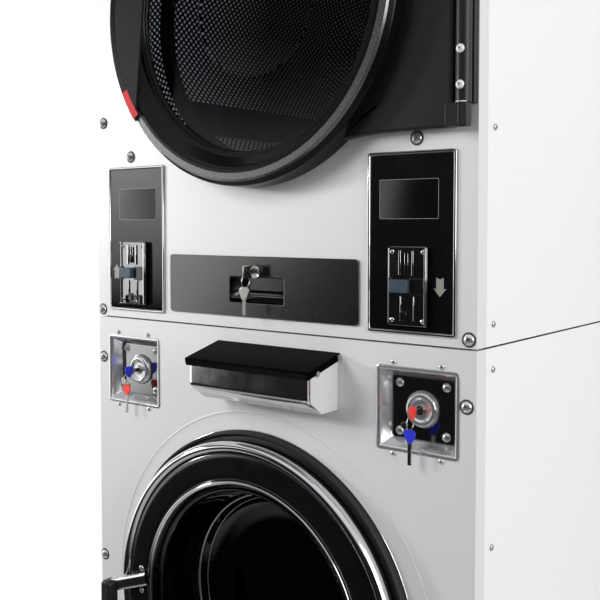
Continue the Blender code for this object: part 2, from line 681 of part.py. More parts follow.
def dryer_door():
    centre = (0.0, FRONT_Y, DRYER_Z)
    back = -DOOR_SEAL_GAP
    glass_seat = DOOR_GLASS_R + GAP
    lip = -(DOOR_SEAL_GAP + 0.010)
    cone = DOOR_CROWN_R - 0.016
    profile = [(DOOR_R, back), (DOOR_R - 0.003, -DOOR_OUT * 0.65),
               (DOOR_R - DOOR_ROUND, -DOOR_OUT + 0.005), (DOOR_CROWN_R, -DOOR_OUT),
               (cone + 0.006, -DOOR_OUT + 0.001), (cone, -DOOR_OUT + 0.006),
               (DOOR_LIP_R + 0.004, lip - 0.008),
               (DOOR_LIP_R, lip - 0.004), (DOOR_LIP_R, lip), (glass_seat, lip), (glass_seat, back)]
    ring = turned("dryer_door_frame", profile, centre, CHARCOAL, STEPS_DOOR, ring=True)
    near = lip + GAP
    sag = DOOR_GLASS_T
    pane = [(0.0, near + DOOR_GLASS_T + sag), (DOOR_LIP_R / 2, near + DOOR_GLASS_T + sag * 0.75),
            (DOOR_LIP_R, near + DOOR_GLASS_T),
            (DOOR_GLASS_R, near + DOOR_GLASS_T), (DOOR_GLASS_R, near), (DOOR_LIP_R, near),
            (DOOR_LIP_R / 2, near + sag * 0.75),
            (0.0, near + sag)]
    glass = turned("dryer_door_glass", pane, centre, GLASS, STEPS_DOOR)

    corner = arc(HANDLE_RADIUS, 180 - CHORD_DEG, 180 + CHORD_DEG, 16)
    handle = outline("dryer_door_handle", [corner], depth_y(-DOOR_OUT - GAP - HANDLE_T),
                     depth_y(-DOOR_OUT - GAP), (0.0, DRYER_Z), CHARCOAL)

    add_hinge_plate(ring)
    moving("dryer_door", HINGE_X, -HINGE_OUT, DRYER_Z, ring, glass, handle)

    leaf_x = (HINGE_X - LEAF_W / 3, HINGE_X + LEAF_W * 2 / 3)
    leaf = block("dryer_hinge_leaf", leaf_x, (depth_y(-HINGE_OUT), depth_y(-GAP)),
                 span(DRYER_Z, 2 * HINGE_HALF_H), CHARCOAL)
    axis = (HINGE_X, depth_y(-HINGE_OUT), DRYER_Z)
    pin_reach = HINGE_HALF_H + KNUCKLE_H
    fuse(leaf, rod("hinge_barrel", HINGE_R, -HINGE_HALF_H, HINGE_HALF_H, axis, axis="Z"),
         rod("hinge_pin", HINGE_PIN_R, -pin_reach, pin_reach, axis, axis="Z", steps=12))


def add_hinge_plate(ring):
    """Welds the flat hinge side to the door's ring; its lower and upper edges sweep out to the hinge."""
    hug = DOOR_R - PLATE_WELD
    meet = math.radians(PLATE_MEET_DEG)
    start = Vector((hug * math.cos(meet), -hug * math.sin(meet)))
    tangent = Vector((math.sin(meet), math.cos(meet)))
    bend = start + tangent * ((-PLATE_HALF_H - start.y) / tangent.y)
    end = Vector((PLATE_FLAT_X, -PLATE_HALF_H))
    sweep = []
    for i in range(1, 9):
        t = i / 8
        sweep.append(start * (1 - t) ** 2 + bend * (2 * t * (1 - t)) + end * t ** 2)
    lower = [(p.x, p.y) for p in sweep]
    right = [(PLATE_RIGHT_X, -PLATE_HALF_H), (PLATE_RIGHT_X, PLATE_HALF_H)]
    edge = lower + right + [(x, -z) for x, z in reversed(lower)]
    edge += arc(hug, PLATE_MEET_DEG, -PLATE_MEET_DEG, 20)
    plate = outline("hinge_plate", [edge], depth_y(-PLATE_FRONT), depth_y(-PLATE_BACK), (0.0, DRYER_Z))
    fuse(ring, plate)
    axis_y = depth_y(-HINGE_OUT)
    for end_name, sign in (("top", 1), ("bottom", -1)):
        z = sorted((DRYER_Z + sign * (HINGE_HALF_H + GAP), DRYER_Z + sign * PLATE_HALF_H))
        along = [limit - DRYER_Z for limit in z]
        link = block(f"knuckle_link_{end_name}", (PLATE_RIGHT_X - HINGE_R, HINGE_X),
                     (axis_y, axis_y + HINGE_R), z)
        barrel = rod(f"knuckle_{end_name}", HINGE_R, *along, (HINGE_X, axis_y, DRYER_Z), axis="Z")
        fuse(ring, link, barrel)
    reach = PLATE_HALF_H + HINGE_R
    bore = rod("knuckle_bore", HINGE_PIN_R + PIN_CLEARANCE, -reach, reach, (HINGE_X, axis_y, DRYER_Z),
               axis="Z", steps=12)
    cut(ring, bore)


def washer_body():
    centre = (0.0, FRONT_Y, WASHER_Z)
    pulley_back = WASHER_PULLEY_DEPTH + PULLEY_T
    tub_front = GASKET_BACK + GAP
    shaft_hole = SHAFT_R + HUB_CLEARANCE
    profile = [(shaft_hole, TUB_BACK), (TUB_R, TUB_BACK), (TUB_R, tub_front), (TUB_MOUTH_R, tub_front),
               (TUB_MOUTH_R, tub_front + TUB_WALL), (TUB_R - TUB_WALL, tub_front + TUB_WALL),
               (TUB_R - TUB_WALL, TUB_BACK - TUB_WALL), (shaft_hole, TUB_BACK - TUB_WALL)]
    turned("washer_tub", profile, centre, STAINLESS, ring=True)
    hub_front = TUB_BACK + GAP
    profile = [(shaft_hole, hub_front + BEARING_L), (BEARING_R * 0.6, hub_front + BEARING_L),
               (BEARING_R * 0.7, hub_front + BEARING_L / 4),
               (BEARING_R, hub_front + BEARING_L / 5), (BEARING_R, hub_front), (shaft_hole, hub_front)]
    turned("washer_bearing_housing", profile, centre, CAST, ring=True)

    profile = drum_profile(WASHER_DRUM_R, WASHER_MOUTH_R, WASHER_DRUM_FRONT, WASHER_DRUM_BACK,
                           pulley_back)
    drum = turned("washer_drum", profile, centre, STAINLESS)
    lifters("washer_lifter", drum, WASHER_DRUM_R - DRUM_WALL / 2, WASHER_DRUM_FRONT + DRUM_WALL / 2,
            WASHER_DRUM_BACK - DRUM_WALL / 2, LIFTER_H * 0.7, WASHER_Z)
    pulley = drum_pulley("washer_drum_pulley", WASHER_PULLEY_R, WASHER_PULLEY_DEPTH, centre)
    moving("washer_drum", 0.0, WASHER_DRUM_FRONT, WASHER_Z, drum, pulley)

    motor_z = WASHER_MOTOR_Z
    motor("washer_motor", WASHER_MOTOR_X, motor_z, WASHER_MOTOR_DEPTH, pulley_back, BASE_TOP + GAP)
    small_pulley("washer_motor_pulley", WASHER_MOTOR_PULLEY_R, WASHER_PULLEY_DEPTH, WASHER_MOTOR_X,
                 motor_z)
    belt("washer_belt", WASHER_PULLEY_R, WASHER_MOTOR_PULLEY_R, WASHER_PULLEY_DEPTH, WASHER_Z,
         WASHER_MOTOR_X, motor_z)

    valve_z = WASHER_Z - TUB_R - GAP - VALVE_R
    end = VALVE_DEPTH + VALVE_L
    neck = VALVE_R * 0.7
    profile = [(0.0, end), (neck, end), (neck, end - VALVE_L / 4), (VALVE_R, end - VALVE_L / 3),
               (VALVE_R, VALVE_DEPTH), (0.0, VALVE_DEPTH)]
    turned("drain_valve", profile, (0.0, FRONT_Y, valve_z), BLACK, STEPS_SMALL)


def washer_port():
    centre = (0.0, FRONT_Y, WASHER_Z)
    bead = 0.005
    flare_r = (PORT_FOOT_R + PORT_RIM_R) / 2
    profile = [(PORT_FOOT_R, -GAP), (flare_r, -PORT_FLARE), (PORT_RIM_R, -PORT_OUT + bead),
               (PORT_RIM_R - bead, -PORT_OUT),
               (PORT_IN_R + bead, -PORT_OUT), (PORT_IN_R, -PORT_OUT + bead), (PORT_IN_R, -GAP)]
    turned("washer_port_ring", profile, centre, STAINLESS, STEPS_DOOR, ring=True)
    rim = PORT_IN_R - GAP
    throat = WASHER_HOLE_R - GAP
    profile = [(throat, GASKET_BACK), (throat, -GAP), (rim, -GAP), (rim, -GASKET_OUT + 0.002),
               (WDOOR_R, -GASKET_OUT),
               (GASKET_IN_R, -GASKET_OUT + 0.006), (GASKET_IN_R, GASKET_BACK)]
    turned("washer_door_gasket", profile, centre, RUBBER, STEPS_DOOR, ring=True)


def washer_door():
    centre = (0.0, FRONT_Y, WASHER_Z)
    back = -GASKET_OUT - GAP
    seat = WDOOR_GLASS_R + GAP
    glass_front = -WDOOR_BAND_OUT + 0.012
    lip = glass_front - GAP
    band_out, band_in = WDOOR_R - 0.022, WDOOR_LIP_R + 0.014
    profile = [(WDOOR_R, back), (WDOOR_R, -WDOOR_OUT + 0.012), (WDOOR_R - 0.006, -WDOOR_OUT + 0.003),
               (WDOOR_R - 0.012, -WDOOR_OUT),
               (band_out, -WDOOR_BAND_OUT), (band_in, -WDOOR_BAND_OUT),
               (WDOOR_LIP_R + 0.006, -WDOOR_OUT + 0.002),
               (WDOOR_LIP_R, -WDOOR_BAND_OUT), (WDOOR_LIP_R, lip), (seat, lip), (seat, back)]
    ring = turned("washer_door_ring", profile, centre, POLISHED, STEPS_DOOR, ring=True)
    axis = (WHINGE_X, depth_y(-WHINGE_OUT), WASHER_Z)
    top = WHINGE_HALF_H + WKNUCKLE_H
    for end_name, along in (("top", (WHINGE_HALF_H + GAP, top)),
                            ("bottom", (-top, -WHINGE_HALF_H - GAP))):
        z = [WASHER_Z + limit for limit in along]
        arm = block(f"door_arm_{end_name}", (WDOOR_R - 0.02, WHINGE_X),
                    (axis[1] - HINGE_R, axis[1] + HINGE_R), z)
        fuse(ring, arm, rod(f"door_knuckle_{end_name}", HINGE_R, *along, axis, axis="Z"))
    cut(ring, rod("door_knuckle_bore", HINGE_PIN_R + PIN_CLEARANCE, -top - HINGE_R, top + HINGE_R, axis,
                  axis="Z", steps=12))

    flange_back = glass_front + WGLASS_T
    wall = WGLASS_T
    outer = [(0.0, BOWL_DEPTH), (BOWL_R * 0.7, BOWL_DEPTH - 0.002), (BOWL_R * 0.9, BOWL_DEPTH - 0.015),
             (BOWL_R, BOWL_DEPTH / 2),
             (WDOOR_LIP_R - wall, flange_back), (WDOOR_GLASS_R, flange_back),
             (WDOOR_GLASS_R, glass_front)]
    inner = [(WDOOR_LIP_R - 2 * wall, glass_front), (BOWL_R - wall, BOWL_DEPTH / 2),
             (BOWL_R * 0.9 - wall, BOWL_DEPTH - 0.015 - wall),
             (BOWL_R * 0.7 - wall, BOWL_DEPTH - 0.002 - wall), (0.0, BOWL_DEPTH - wall)]
    glass = turned("washer_door_glass", outer + inner, centre, GLASS, STEPS_DOOR)
    moving("washer_door", WHINGE_X, -WHINGE_OUT, WASHER_Z, ring, glass)

    base_y = (depth_y(-BEZEL_T), depth_y(-GAP))
    height = span(WASHER_Z, 2 * WHINGE_HALF_H)
    bracket = block("washer_hinge_bracket", WHINGE_BASE_X, base_y, height, POLISHED)
    arm_y = (axis[1] - HINGE_R, axis[1] + HINGE_R)
    post_x = (WHINGE_BASE_X[1] - 2 * HINGE_R, WHINGE_BASE_X[1])
    fuse(bracket, block("hinge_post", post_x, (arm_y[0], base_y[1] - GAP), height),
         block("hinge_reach", (WHINGE_X, WHINGE_BASE_X[1] - HINGE_R), arm_y, height),
         rod("washer_barrel", HINGE_R, -WHINGE_HALF_H, WHINGE_HALF_H, axis, axis="Z"),
         rod("washer_pin", HINGE_PIN_R, -top, top, axis, axis="Z", steps=12))

    lever = door_lever()
    moving("washer_door_lever", LEVER_X, -LEVER_OUT, LEVER_Z, lever)


def door_lever():
    """The latch lever: a slanted arm on a stud, with an upright grip at its outer end."""
    y = (depth_y(-LEVER_OUT - LEVER_T), depth_y(-LEVER_OUT))
    lever = block("washer_door_lever", (LEVER_X - LEVER_ARM, LEVER_X + LEVER_TAIL), y,
                  span(LEVER_Z, LEVER_W), POLISHED)
    tilt = math.radians(-LEVER_TILT_DEG)
    lever.data.transform(Matrix.Translation(((LEVER_TAIL - LEVER_ARM) / 2, 0.0, 0.0)))
    lever.location = (LEVER_X, (y[0] + y[1]) / 2, LEVER_Z)
    lever.rotation_euler.y = tilt
    end_x = LEVER_X - LEVER_ARM * math.cos(tilt)
    end_z = LEVER_Z + LEVER_ARM * math.sin(tilt)
    stud = rod("lever_stud", LEVER_W / 3, -LEVER_OUT - LEVER_T / 2, -WDOOR_BAND_OUT - 2 * GAP,
               (LEVER_X, FRONT_Y, LEVER_Z))
    grip_y = (y[0] - GRIP_T / 2, y[0] + GRIP_T / 2)
    grip = block("lever_grip", span(end_x, GRIP_W), grip_y, (end_z - GRIP_H, end_z + LEVER_W / 2))
    tongue = block("lever_tongue", span(end_x + GRIP_W / 2, LEVER_W / 2),
                   (y[0], depth_y(-PORT_OUT - 0.003)), span(end_z, LEVER_W / 2))
    fuse(lever, stud, grip, tongue)
    return lever


def soap_dispenser():
    x = span(SOAP_X, SOAP_W)
    slope = math.radians(LID_SLOPE_DEG)

    def lower_edge(middle, half):
        return middle.z < -half.z * 0.99 and middle.y < half.y * 0.99

    box = block("soap_box", x, (depth_y(-SOAP_D), depth_y(-GAP)), (SOAP_BOTTOM, SOAP_HINGE_Z), POLISHED,
                (SOAP_ROUND, lower_edge))
    inner = ((x[0] + SOAP_WALL, x[1] - SOAP_WALL),
             (depth_y(-SOAP_D + SOAP_WALL), depth_y(-GAP - SOAP_WALL)),
             (SOAP_BOTTOM + SOAP_WALL, SOAP_HINGE_Z + FOLD))
    hollow = block("soap_hollow", *inner, None, (SOAP_ROUND - SOAP_WALL, lower_edge))
    axis = Vector((SOAP_X, depth_y(-LID_HINGE_OUT), SOAP_HINGE_Z))
    above = block("soap_slant", span(SOAP_X, SOAP_W * 2), (-SOAP_D * 2, SOAP_D),
                  (-LID_SHEET - GAP, SOAP_D))
    above.data.transform(Matrix.Translation((0.0, -SOAP_D / 2, (SOAP_D - LID_SHEET - GAP) / 2)))
    above.location = axis
    above.rotation_euler.x = slope
    cut(box, hollow, above)

    length = (FRONT_PROUD - LID_HINGE_OUT) / math.cos(slope)
    lid = block("soap_lid", span(SOAP_X, SOAP_W + 2 * LID_LIP), (-length, 0.0), (-LID_T, 0.0), BLACK)
    lid.data.transform(Matrix.Translation((0.0, -length / 2, -LID_T / 2)))
    under = block("lid_inside", span(SOAP_X, SOAP_W + 2 * LID_LIP - 2 * LID_SHEET),
                  (-length + LID_SHEET, FOLD), (-LID_T - FOLD, -LID_SHEET))
    under.data.transform(Matrix.Translation((0.0, (LID_SHEET + FOLD - length) / 2,
                                             -(LID_T + FOLD + LID_SHEET) / 2)))
    for piece in (lid, under):
        piece.location = axis
        piece.rotation_euler.x = slope
    cut(lid, under)
    moving("soap_lid", SOAP_X, -LID_HINGE_OUT, SOAP_HINGE_Z, lid)


def lint_drawer():
    front_y = (depth_y(-LINT_T - GAP), depth_y(-GAP))
    drawer = block("lint_drawer", span(0.0, LINT_W), front_y, span(LINT_Z, LINT_H), CHARCOAL)
    body = block("lint_tray", span(0.0, TRAY_W), (front_y[1] - GAP, depth_y(TRAY_L)),
                 span(LINT_Z, TRAY_H))
    inner = block("lint_inside", span(0.0, TRAY_W - 2 * TRAY_WALL),
                  (depth_y(TRAY_WALL), depth_y(TRAY_L - TRAY_WALL)),
                  (LINT_Z - TRAY_H / 2 + TRAY_WALL, LINT_Z + TRAY_H))
    cup = block("pull_cup", span(0.0, PULL_W + 2 * PULL_WALL),
                (front_y[0] + GAP, depth_y(PULL_DEPTH + PULL_WALL)),
                (LINT_Z - TRAY_H / 2 + TRAY_WALL / 2, PULL_Z + PULL_H / 2 + PULL_WALL))
    pocket = block("pull_pocket", span(0.0, PULL_W), (front_y[0] - FOLD, depth_y(PULL_DEPTH)),
                   span(PULL_Z, PULL_H))
    lock_hole = rod("lock_hole", LOCK_R + LOCK_CLEARANCE, -FOLD, FOLD, (0.0, FRONT_Y, LOCK_Z))
    fuse(drawer, body)
    cut(drawer, inner)
    fuse(drawer, cup)
    cut(drawer, pocket, lock_hole)
    moving("lint_drawer", 0.0, 0.0, LINT_Z, drawer)
    face = -LINT_T - 2 * GAP
    lock = lock_with_key("lint_lock", 0.0, LOCK_Z, face, LOCK_R, LOCK_FLANGE_R, LOCK_L, KEY_OUT)
    moving("lint_lock", 0.0, face, LOCK_Z, lock)


def lock_with_key(name, x, z, face, radius, flange_r, length, key_out):
    """A lock barrel with a rim on the face in front of it, and its key standing out of it."""
    rim_out = face - radius / 2
    profile = [(0.0, face + length), (radius, face + length), (radius, face), (flange_r, face),
               (flange_r, rim_out), (0.0, rim_out)]
    lock = turned(name, profile, (x, FRONT_Y, z), BRASS, STEPS_SMALL)
    bow_y = (depth_y(face - key_out), depth_y(face - key_out + KEY_W))
    blade_y = (bow_y[1] - KEY_T, depth_y(rim_out + KEY_T))
    fuse(lock, block(name + "_bow", span(x, KEY_T), bow_y, span(z, KEY_W)),
         block(name + "_blade", span(x, KEY_T * 0.8), blade_y, span(z, radius)))
    return lock


def control_panel(side, sign):
    x = sign * PANEL_X
    wide = span(x, PANEL_W)
    tall = span(PANEL_Z, PANEL_H)
    inner_w = PANEL_W - 2 * BEZEL_W
    inner_h = PANEL_H - 2 * BEZEL_W
    bezel = block(f"control_bezel_{side}", wide, (depth_y(-BEZEL_T), depth_y(-GAP)), tall, POLISHED)
    cut(bezel, block(f"bezel_window_{side}", span(x, inner_w), (depth_y(-FOLD), depth_y(FOLD)),
                     span(PANEL_Z, inner_h)))
    glass_y = (depth_y(-CONTROL_GLASS_OUT), depth_y(CONTROL_GLASS_T - CONTROL_GLASS_OUT))
    glass = block(f"control_glass_{side}", span(x, inner_w - 2 * GAP), glass_y,
                  span(PANEL_Z, inner_h - 2 * GAP), GLASS)
    body = (span(x, ACCEPTOR_BODY_W), span(ACCEPTOR_Z, ACCEPTOR_BODY_H))
    cut(glass, block(f"acceptor_hole_{side}", span(x, ACCEPTOR_BODY_W + 2 * GAP),
                     (depth_y(-FOLD), depth_y(FOLD)),
                     span(ACCEPTOR_Z, ACCEPTOR_BODY_H + 2 * GAP)))
    face_back = depth_y(-CONTROL_GLASS_OUT - GAP)
    face_front = face_back - ACCEPTOR_T
    acceptor = block(f"coin_acceptor_{side}", span(x, ACCEPTOR_W), (face_front, face_back),
                     span(ACCEPTOR_Z, ACCEPTOR_H), POLISHED)
    fuse(acceptor, block(f"acceptor_body_{side}", body[0], (face_back - GAP, depth_y(ACCEPTOR_BODY_L)),
                         body[1]))
    button_x = x + RETURN_OFFSET_X
    pocket_y = (face_front - FOLD, face_front + RETURN_TRAVEL + 2 * GAP)
    cut(acceptor, block(f"return_pocket_{side}", span(button_x, RETURN_W + 4 * GAP), pocket_y,
                        span(ACCEPTOR_Z, RETURN_H + 4 * GAP)))
    button_y = (face_front - RETURN_T, face_front + GAP)
    button = block(f"coin_return_{side}", span(button_x, RETURN_W), button_y,
                   span(ACCEPTOR_Z, RETURN_H), BLACK)
    moving(f"coin_return_{side}", button_x, -CONTROL_GLASS_OUT, ACCEPTOR_Z, button)


def frustum(name, x, z, near, far, front_size, back_size, finish=None):
    """A box between two depths whose back face is smaller than its front."""
    made = block(name, span(x, front_size[0]), (depth_y(near), depth_y(far)), span(z, front_size[1]),
                 finish)
    for vertex in made.data.vertices:
        if vertex.co.y > 0:
            vertex.co.x *= back_size[0] / front_size[0]
            vertex.co.z *= back_size[1] / front_size[1]
    return made


def coin_vault(side, sign):
    x = sign * VAULT_X
    size = (VAULT_W - 2 * GAP, VAULT_H - 2 * GAP)
    floor = (size[0] - 2 * VAULT_SLOPE, size[1] - 2 * VAULT_SLOPE)
    thin = [(w - 2 * VAULT_WALL, h - 2 * VAULT_WALL) for w, h in (size, floor)]
    dish = frustum(f"vault_dish_{side}", x, VAULT_Z, -GAP - VAULT_LIP_T / 2, VAULT_DEPTH + VAULT_WALL,
                   size, floor, POLISHED)
    lip = (span(x, VAULT_W + 2 * VAULT_LIP), (depth_y(-GAP - VAULT_LIP_T), depth_y(-GAP)),
           span(VAULT_Z, VAULT_H + 2 * VAULT_LIP))
    fuse(dish, block(f"vault_lip_{side}", *lip))
    overrun = VAULT_LIP_T * 4
    cut(dish, frustum(f"vault_hollow_{side}", x, VAULT_Z, -GAP - overrun, VAULT_DEPTH, *thin),
        block(f"vault_slot_{side}", span(x, COIN_BOX_W + 4 * GAP), (depth_y(0.0), depth_y(FOLD * 2)),
              span(VAULT_Z, COIN_BOX_H + 4 * GAP)))

    plate_back = VAULT_DEPTH - GAP
    plate_front = plate_back - VAULT_PLATE_T
    box = block(f"coin_box_{side}", span(x, VAULT_PLATE_W), (depth_y(plate_front), depth_y(plate_back)),
                span(VAULT_Z, VAULT_PLATE_H), POLISHED)
    body_y = (depth_y(plate_back - GAP), depth_y(plate_back + COIN_BOX_L))
    wall = VAULT_WALL
    inner = block(f"coin_inside_{side}", span(x, COIN_BOX_W - 2 * wall),
                  (depth_y(plate_back + FOLD), body_y[1] - wall),
                  (VAULT_Z - COIN_BOX_H / 2 + wall, VAULT_Z + COIN_BOX_H))
    dome = [(0.0, plate_front + GAP), (ESCUTCHEON_R, plate_front + GAP), (ESCUTCHEON_R, plate_front),
            (ESCUTCHEON_R * 0.85, plate_front - ESCUTCHEON_OUT * 0.7),
            (ESCUTCHEON_R / 2, plate_front - ESCUTCHEON_OUT),
            (0.0, plate_front - ESCUTCHEON_OUT)]
    spot = (x, FRONT_Y, VAULT_Z)
    fuse(box, block(f"coin_body_{side}", span(x, COIN_BOX_W), body_y, span(VAULT_Z, COIN_BOX_H)),
         turned(f"escutcheon_{side}", dome, spot))
    cut(box, inner, rod(f"coin_lock_hole_{side}", COIN_LOCK_R + LOCK_CLEARANCE, -FOLD,
                        plate_back + FOLD / 2, spot))
    moving(f"coin_box_{side}", x, plate_front, VAULT_Z, box)
    face = plate_front - ESCUTCHEON_OUT - GAP
    lock = lock_with_key(f"coin_lock_{side}", x, VAULT_Z, face, COIN_LOCK_R, COIN_LOCK_R * 1.3, LOCK_L,
                         COIN_KEY_OUT)
    moving(f"coin_lock_{side}", x, face, VAULT_Z, lock)


base_and_feet()
cabinet()
dryer_body()
dryer_door()
washer_body()
washer_port()
washer_door()
soap_dispenser()
lint_drawer()
for side_name, side_sign in SIDES:
    control_panel(side_name, side_sign)
    coin_vault(side_name, side_sign)
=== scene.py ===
"""Looks of a coin-operated laundry stack: a tumble dryer over a washer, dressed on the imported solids.

The file is laid out as an add-on and run as a script. Metres, +Z up, the front faces -Y.
Depths are counted from the outer face of the front panels into the machine, as in the solids.
"""

import json

import bmesh
import bpy
import numpy as np
from bpy.props import FloatProperty, FloatVectorProperty, IntProperty, PointerProperty
from bpy.types import Operator, Panel, PropertyGroup
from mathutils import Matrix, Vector


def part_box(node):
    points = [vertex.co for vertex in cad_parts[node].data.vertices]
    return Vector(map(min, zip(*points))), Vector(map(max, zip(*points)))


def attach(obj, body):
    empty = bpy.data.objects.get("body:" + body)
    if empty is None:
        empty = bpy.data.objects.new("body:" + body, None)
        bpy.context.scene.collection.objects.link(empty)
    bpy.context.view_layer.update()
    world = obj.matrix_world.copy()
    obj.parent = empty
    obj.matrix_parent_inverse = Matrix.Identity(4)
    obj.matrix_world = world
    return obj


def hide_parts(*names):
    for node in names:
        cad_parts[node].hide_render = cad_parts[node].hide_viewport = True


bl_info = {
    "name": "Laundry stack looks",
    "version": (1, 0, 0),
    "blender": (4, 5, 0),
    "location": "View3D > Sidebar > Laundry",
    "description": "Builds the visible pieces, finishes and stage of a stacked dryer and washer",
    "category": "Object",
}

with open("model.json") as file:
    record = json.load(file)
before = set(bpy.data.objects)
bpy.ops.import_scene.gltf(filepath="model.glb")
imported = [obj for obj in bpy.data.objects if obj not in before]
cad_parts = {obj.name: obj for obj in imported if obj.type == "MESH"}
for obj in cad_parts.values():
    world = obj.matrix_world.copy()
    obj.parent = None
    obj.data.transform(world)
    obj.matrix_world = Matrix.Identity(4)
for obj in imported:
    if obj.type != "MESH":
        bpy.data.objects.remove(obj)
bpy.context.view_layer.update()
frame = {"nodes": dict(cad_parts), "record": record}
SIDES = {"left": -1, "right": 1}
# The outer faces of the front panels, the sides, the rear and the top.
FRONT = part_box("dryer_front_panel")[0].y
SIDE_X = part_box("dryer_front_panel")[1].x
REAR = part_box("dryer_rear_panel")[1].y
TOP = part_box("top_cover")[1].z


def middle(node):
    """Centre of a CAD node's box."""
    low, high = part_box(node)
    return (low + high) / 2


def half(node):
    """Half the size of a CAD node's box."""
    low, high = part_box(node)
    return (high - low) / 2


# The two doors' middles, on the front panels' faces.
DRYER = Vector((0.0, FRONT, middle("dryer_door_glass").z))
WASHER = Vector((0.0, FRONT, middle("washer_door_glass").z))
# Display windows: how far their middles stand from the machine's middle, and their width.
WINDOW_X = 0.3115
WINDOW_W = 0.107
# Dryer hinge: the pin's place, half the leaf's height, and half the height of the plate on the door.
PIN = Vector((0.4165, FRONT - 0.028, DRYER.z))
LEAF_HALF = 0.208
PLATE_HALF = 0.243
# The angle at which the soap lid falls towards the front.
LID_FALL = np.radians(14.8)
# Service covers on the rear: x, z, width and height of each, and how far they stand out.
COVERS = ((-0.13, 1.33, 0.46, 0.36), (-0.07, 0.40, 0.56, 0.46))
COVER_FACE = -0.0018


def linear(code):
    """sRGB hex to linear light: c / 12.92 up to 0.04045, else ((c + 0.055) / 1.055) to the power 2.4."""
    c = np.array([int(code[i:i + 2], 16) for i in (1, 3, 5)]) / 255
    return tuple(float(v) for v in np.where(c <= 0.04045, c / 12.92, ((c + 0.055) / 1.055) ** 2.4))


# Settings


def colour(name, description, code):
    """A colour setting, given as sRGB hex."""
    return FloatVectorProperty(name=name, description=description, subtype="COLOR", size=3,
                               min=0.0, max=1.0, default=linear(code))


def length(name, description, default):
    """A length setting, in metres."""
    return FloatProperty(name=name, description=description, default=default, unit="LENGTH",
                         precision=4)


class LaundryColours(PropertyGroup):
    """Colours of the finishes, before light falls on them."""

    panel: colour("Panel steel", "Brushed sheet of the front panels", "#D8D8D8")
    polished: colour("Polished steel", "Door rings, soap box, coin vaults and face plates", "#DADBDD")
    charcoal: colour("Powder coat", "Hinge, handle and crown of the dryer door", "#1B1B1D")
    black: colour("Black coat", "Dryer door ring, lint drawer and soap lid", "#0B0B0C")
    rubber: colour("Rubber", "Door gasket, belts and feet", "#141415")
    acrylic: colour("Control glass", "Back-painted glass of the control panels", "#0D0D10")
    tint: colour("Dryer glass", "Tint of the dryer's door glass", "#B9BDC1")
    bowl: colour("Washer glass", "Tint of the washer's glass bowl", "#46494C")
    paint: colour("Side paint", "Side, rear and top panels", "#E9E9E8")
    zinc: colour("Zinc sheet", "Inner decks and casings", "#A9ACAE")
    cast: colour("Cast iron", "Pulleys, frame and felt", "#3F4246")
    motor: colour("Motor enamel", "Motors and coin return buttons", "#33424F")
    nickel: colour("Nickel", "Locks and keys", "#C9C8C4")
    drum: colour("Drum steel", "Perforated drum walls", "#6E6E6E")
    key_blue: colour("Blue key", "Plastic head of one key", "#2B33C8")
    key_red: colour("Red key", "Plastic head of the other key", "#E8453C")
    tab: colour("Pull tab", "Tab on the dryer door's rim", "#B4121C")
    print_grey: colour("Panel print", "Arrows and window lines", "#8F8F89")


class LaundrySizes(PropertyGroup):
    """Sizes of the details that only the looks hold."""

    screw_r: length("Screw head", "Radius of the panel screws", 0.0092)
    bolt_r: length("Vault bolt", "Radius of the round bolts on the vault plates", 0.0076)
    key_head: length("Key head", "Width of a key's plastic head", 0.019)
    key_blade: length("Key blade", "Length of a key's blade", 0.036)
    ring_r: length("Key ring", "Radius of a split ring", 0.0105)
    hole_pitch: length("Drum hole pitch", "Spacing of the drum's holes", 0.0105)
    hole_r: length("Drum hole radius", "Radius of the drum's holes", 0.0030)
    turn_steps: IntProperty(name="Turned steps", description="Sides of a large turned piece",
                            default=160, min=24)


class LaundryStage(PropertyGroup):
    """Camera, light and floor."""

    lens: FloatProperty(name="Lens", description="Focal length on a 36 mm sensor", default=54.74,
                        unit="CAMERA")
    stand: FloatVectorProperty(name="Camera place", description="Where the camera stands",
                               subtype="TRANSLATION", unit="LENGTH", default=(1.0545, -1.6901, 1.1887))
    yaw: FloatProperty(name="Camera turn", description="Turn to the left", subtype="ANGLE",
                       default=np.radians(37.924))
    dip: FloatProperty(name="Camera dip", description="Tilt below level", subtype="ANGLE",
                       default=np.radians(2.5))
    rise: FloatProperty(name="Camera shift", description="Vertical shift, in frame heights", default=-0.06)
    key_power: FloatProperty(name="Key light", description="Power of the lamp on the left", default=106.0,
                             unit="POWER")
    fill_power: FloatProperty(name="Fill light", description="Power of the soft lamp on the right",
                              default=98.0, unit="POWER")
    top_power: FloatProperty(name="Top light", description="Power of the soft lamp above", default=54.0,
                             unit="POWER")
    back_power: FloatProperty(name="Back light", description="Power of the soft lamp behind", default=45.0,
                              unit="POWER")
    sky: FloatProperty(name="Room light", description="Strength of the even light", default=0.25)
    floor: colour("Floor", "Pale studio floor", "#D8D8D7")


# Finishes


def add(tree, kind, inputs=None, **settings):
    """Adds a node, sets its properties, and fills its inputs with values or links from other nodes."""
    made = tree.nodes.new(kind)
    for key, value in settings.items():
        setattr(made, key, value)
    for socket, value in (inputs or {}).items():
        if isinstance(value, bpy.types.NodeSocket):
            tree.links.new(value, made.inputs[socket])
        else:
            made.inputs[socket].default_value = value
    return made


def per_mm(size):
    """Texture scale for a pattern of that size in millimetres on coordinates in metres."""
    return 1000.0 / size


def shade(rgb, factor):
    """A colour made lighter or darker, with its alpha."""
    return tuple(min(1.0, c * factor) for c in rgb) + (1.0,)


def start_material(name, **sockets):
    """A new node material, with the values that are the same all over set on the shader."""
    made = bpy.data.materials.new(name)
    made.use_nodes = True
    shader = made.node_tree.nodes["Principled BSDF"]
    for socket, value in sockets.items():
        shader.inputs[socket.replace("_", " ")].default_value = value
    return made, made.node_tree, shader


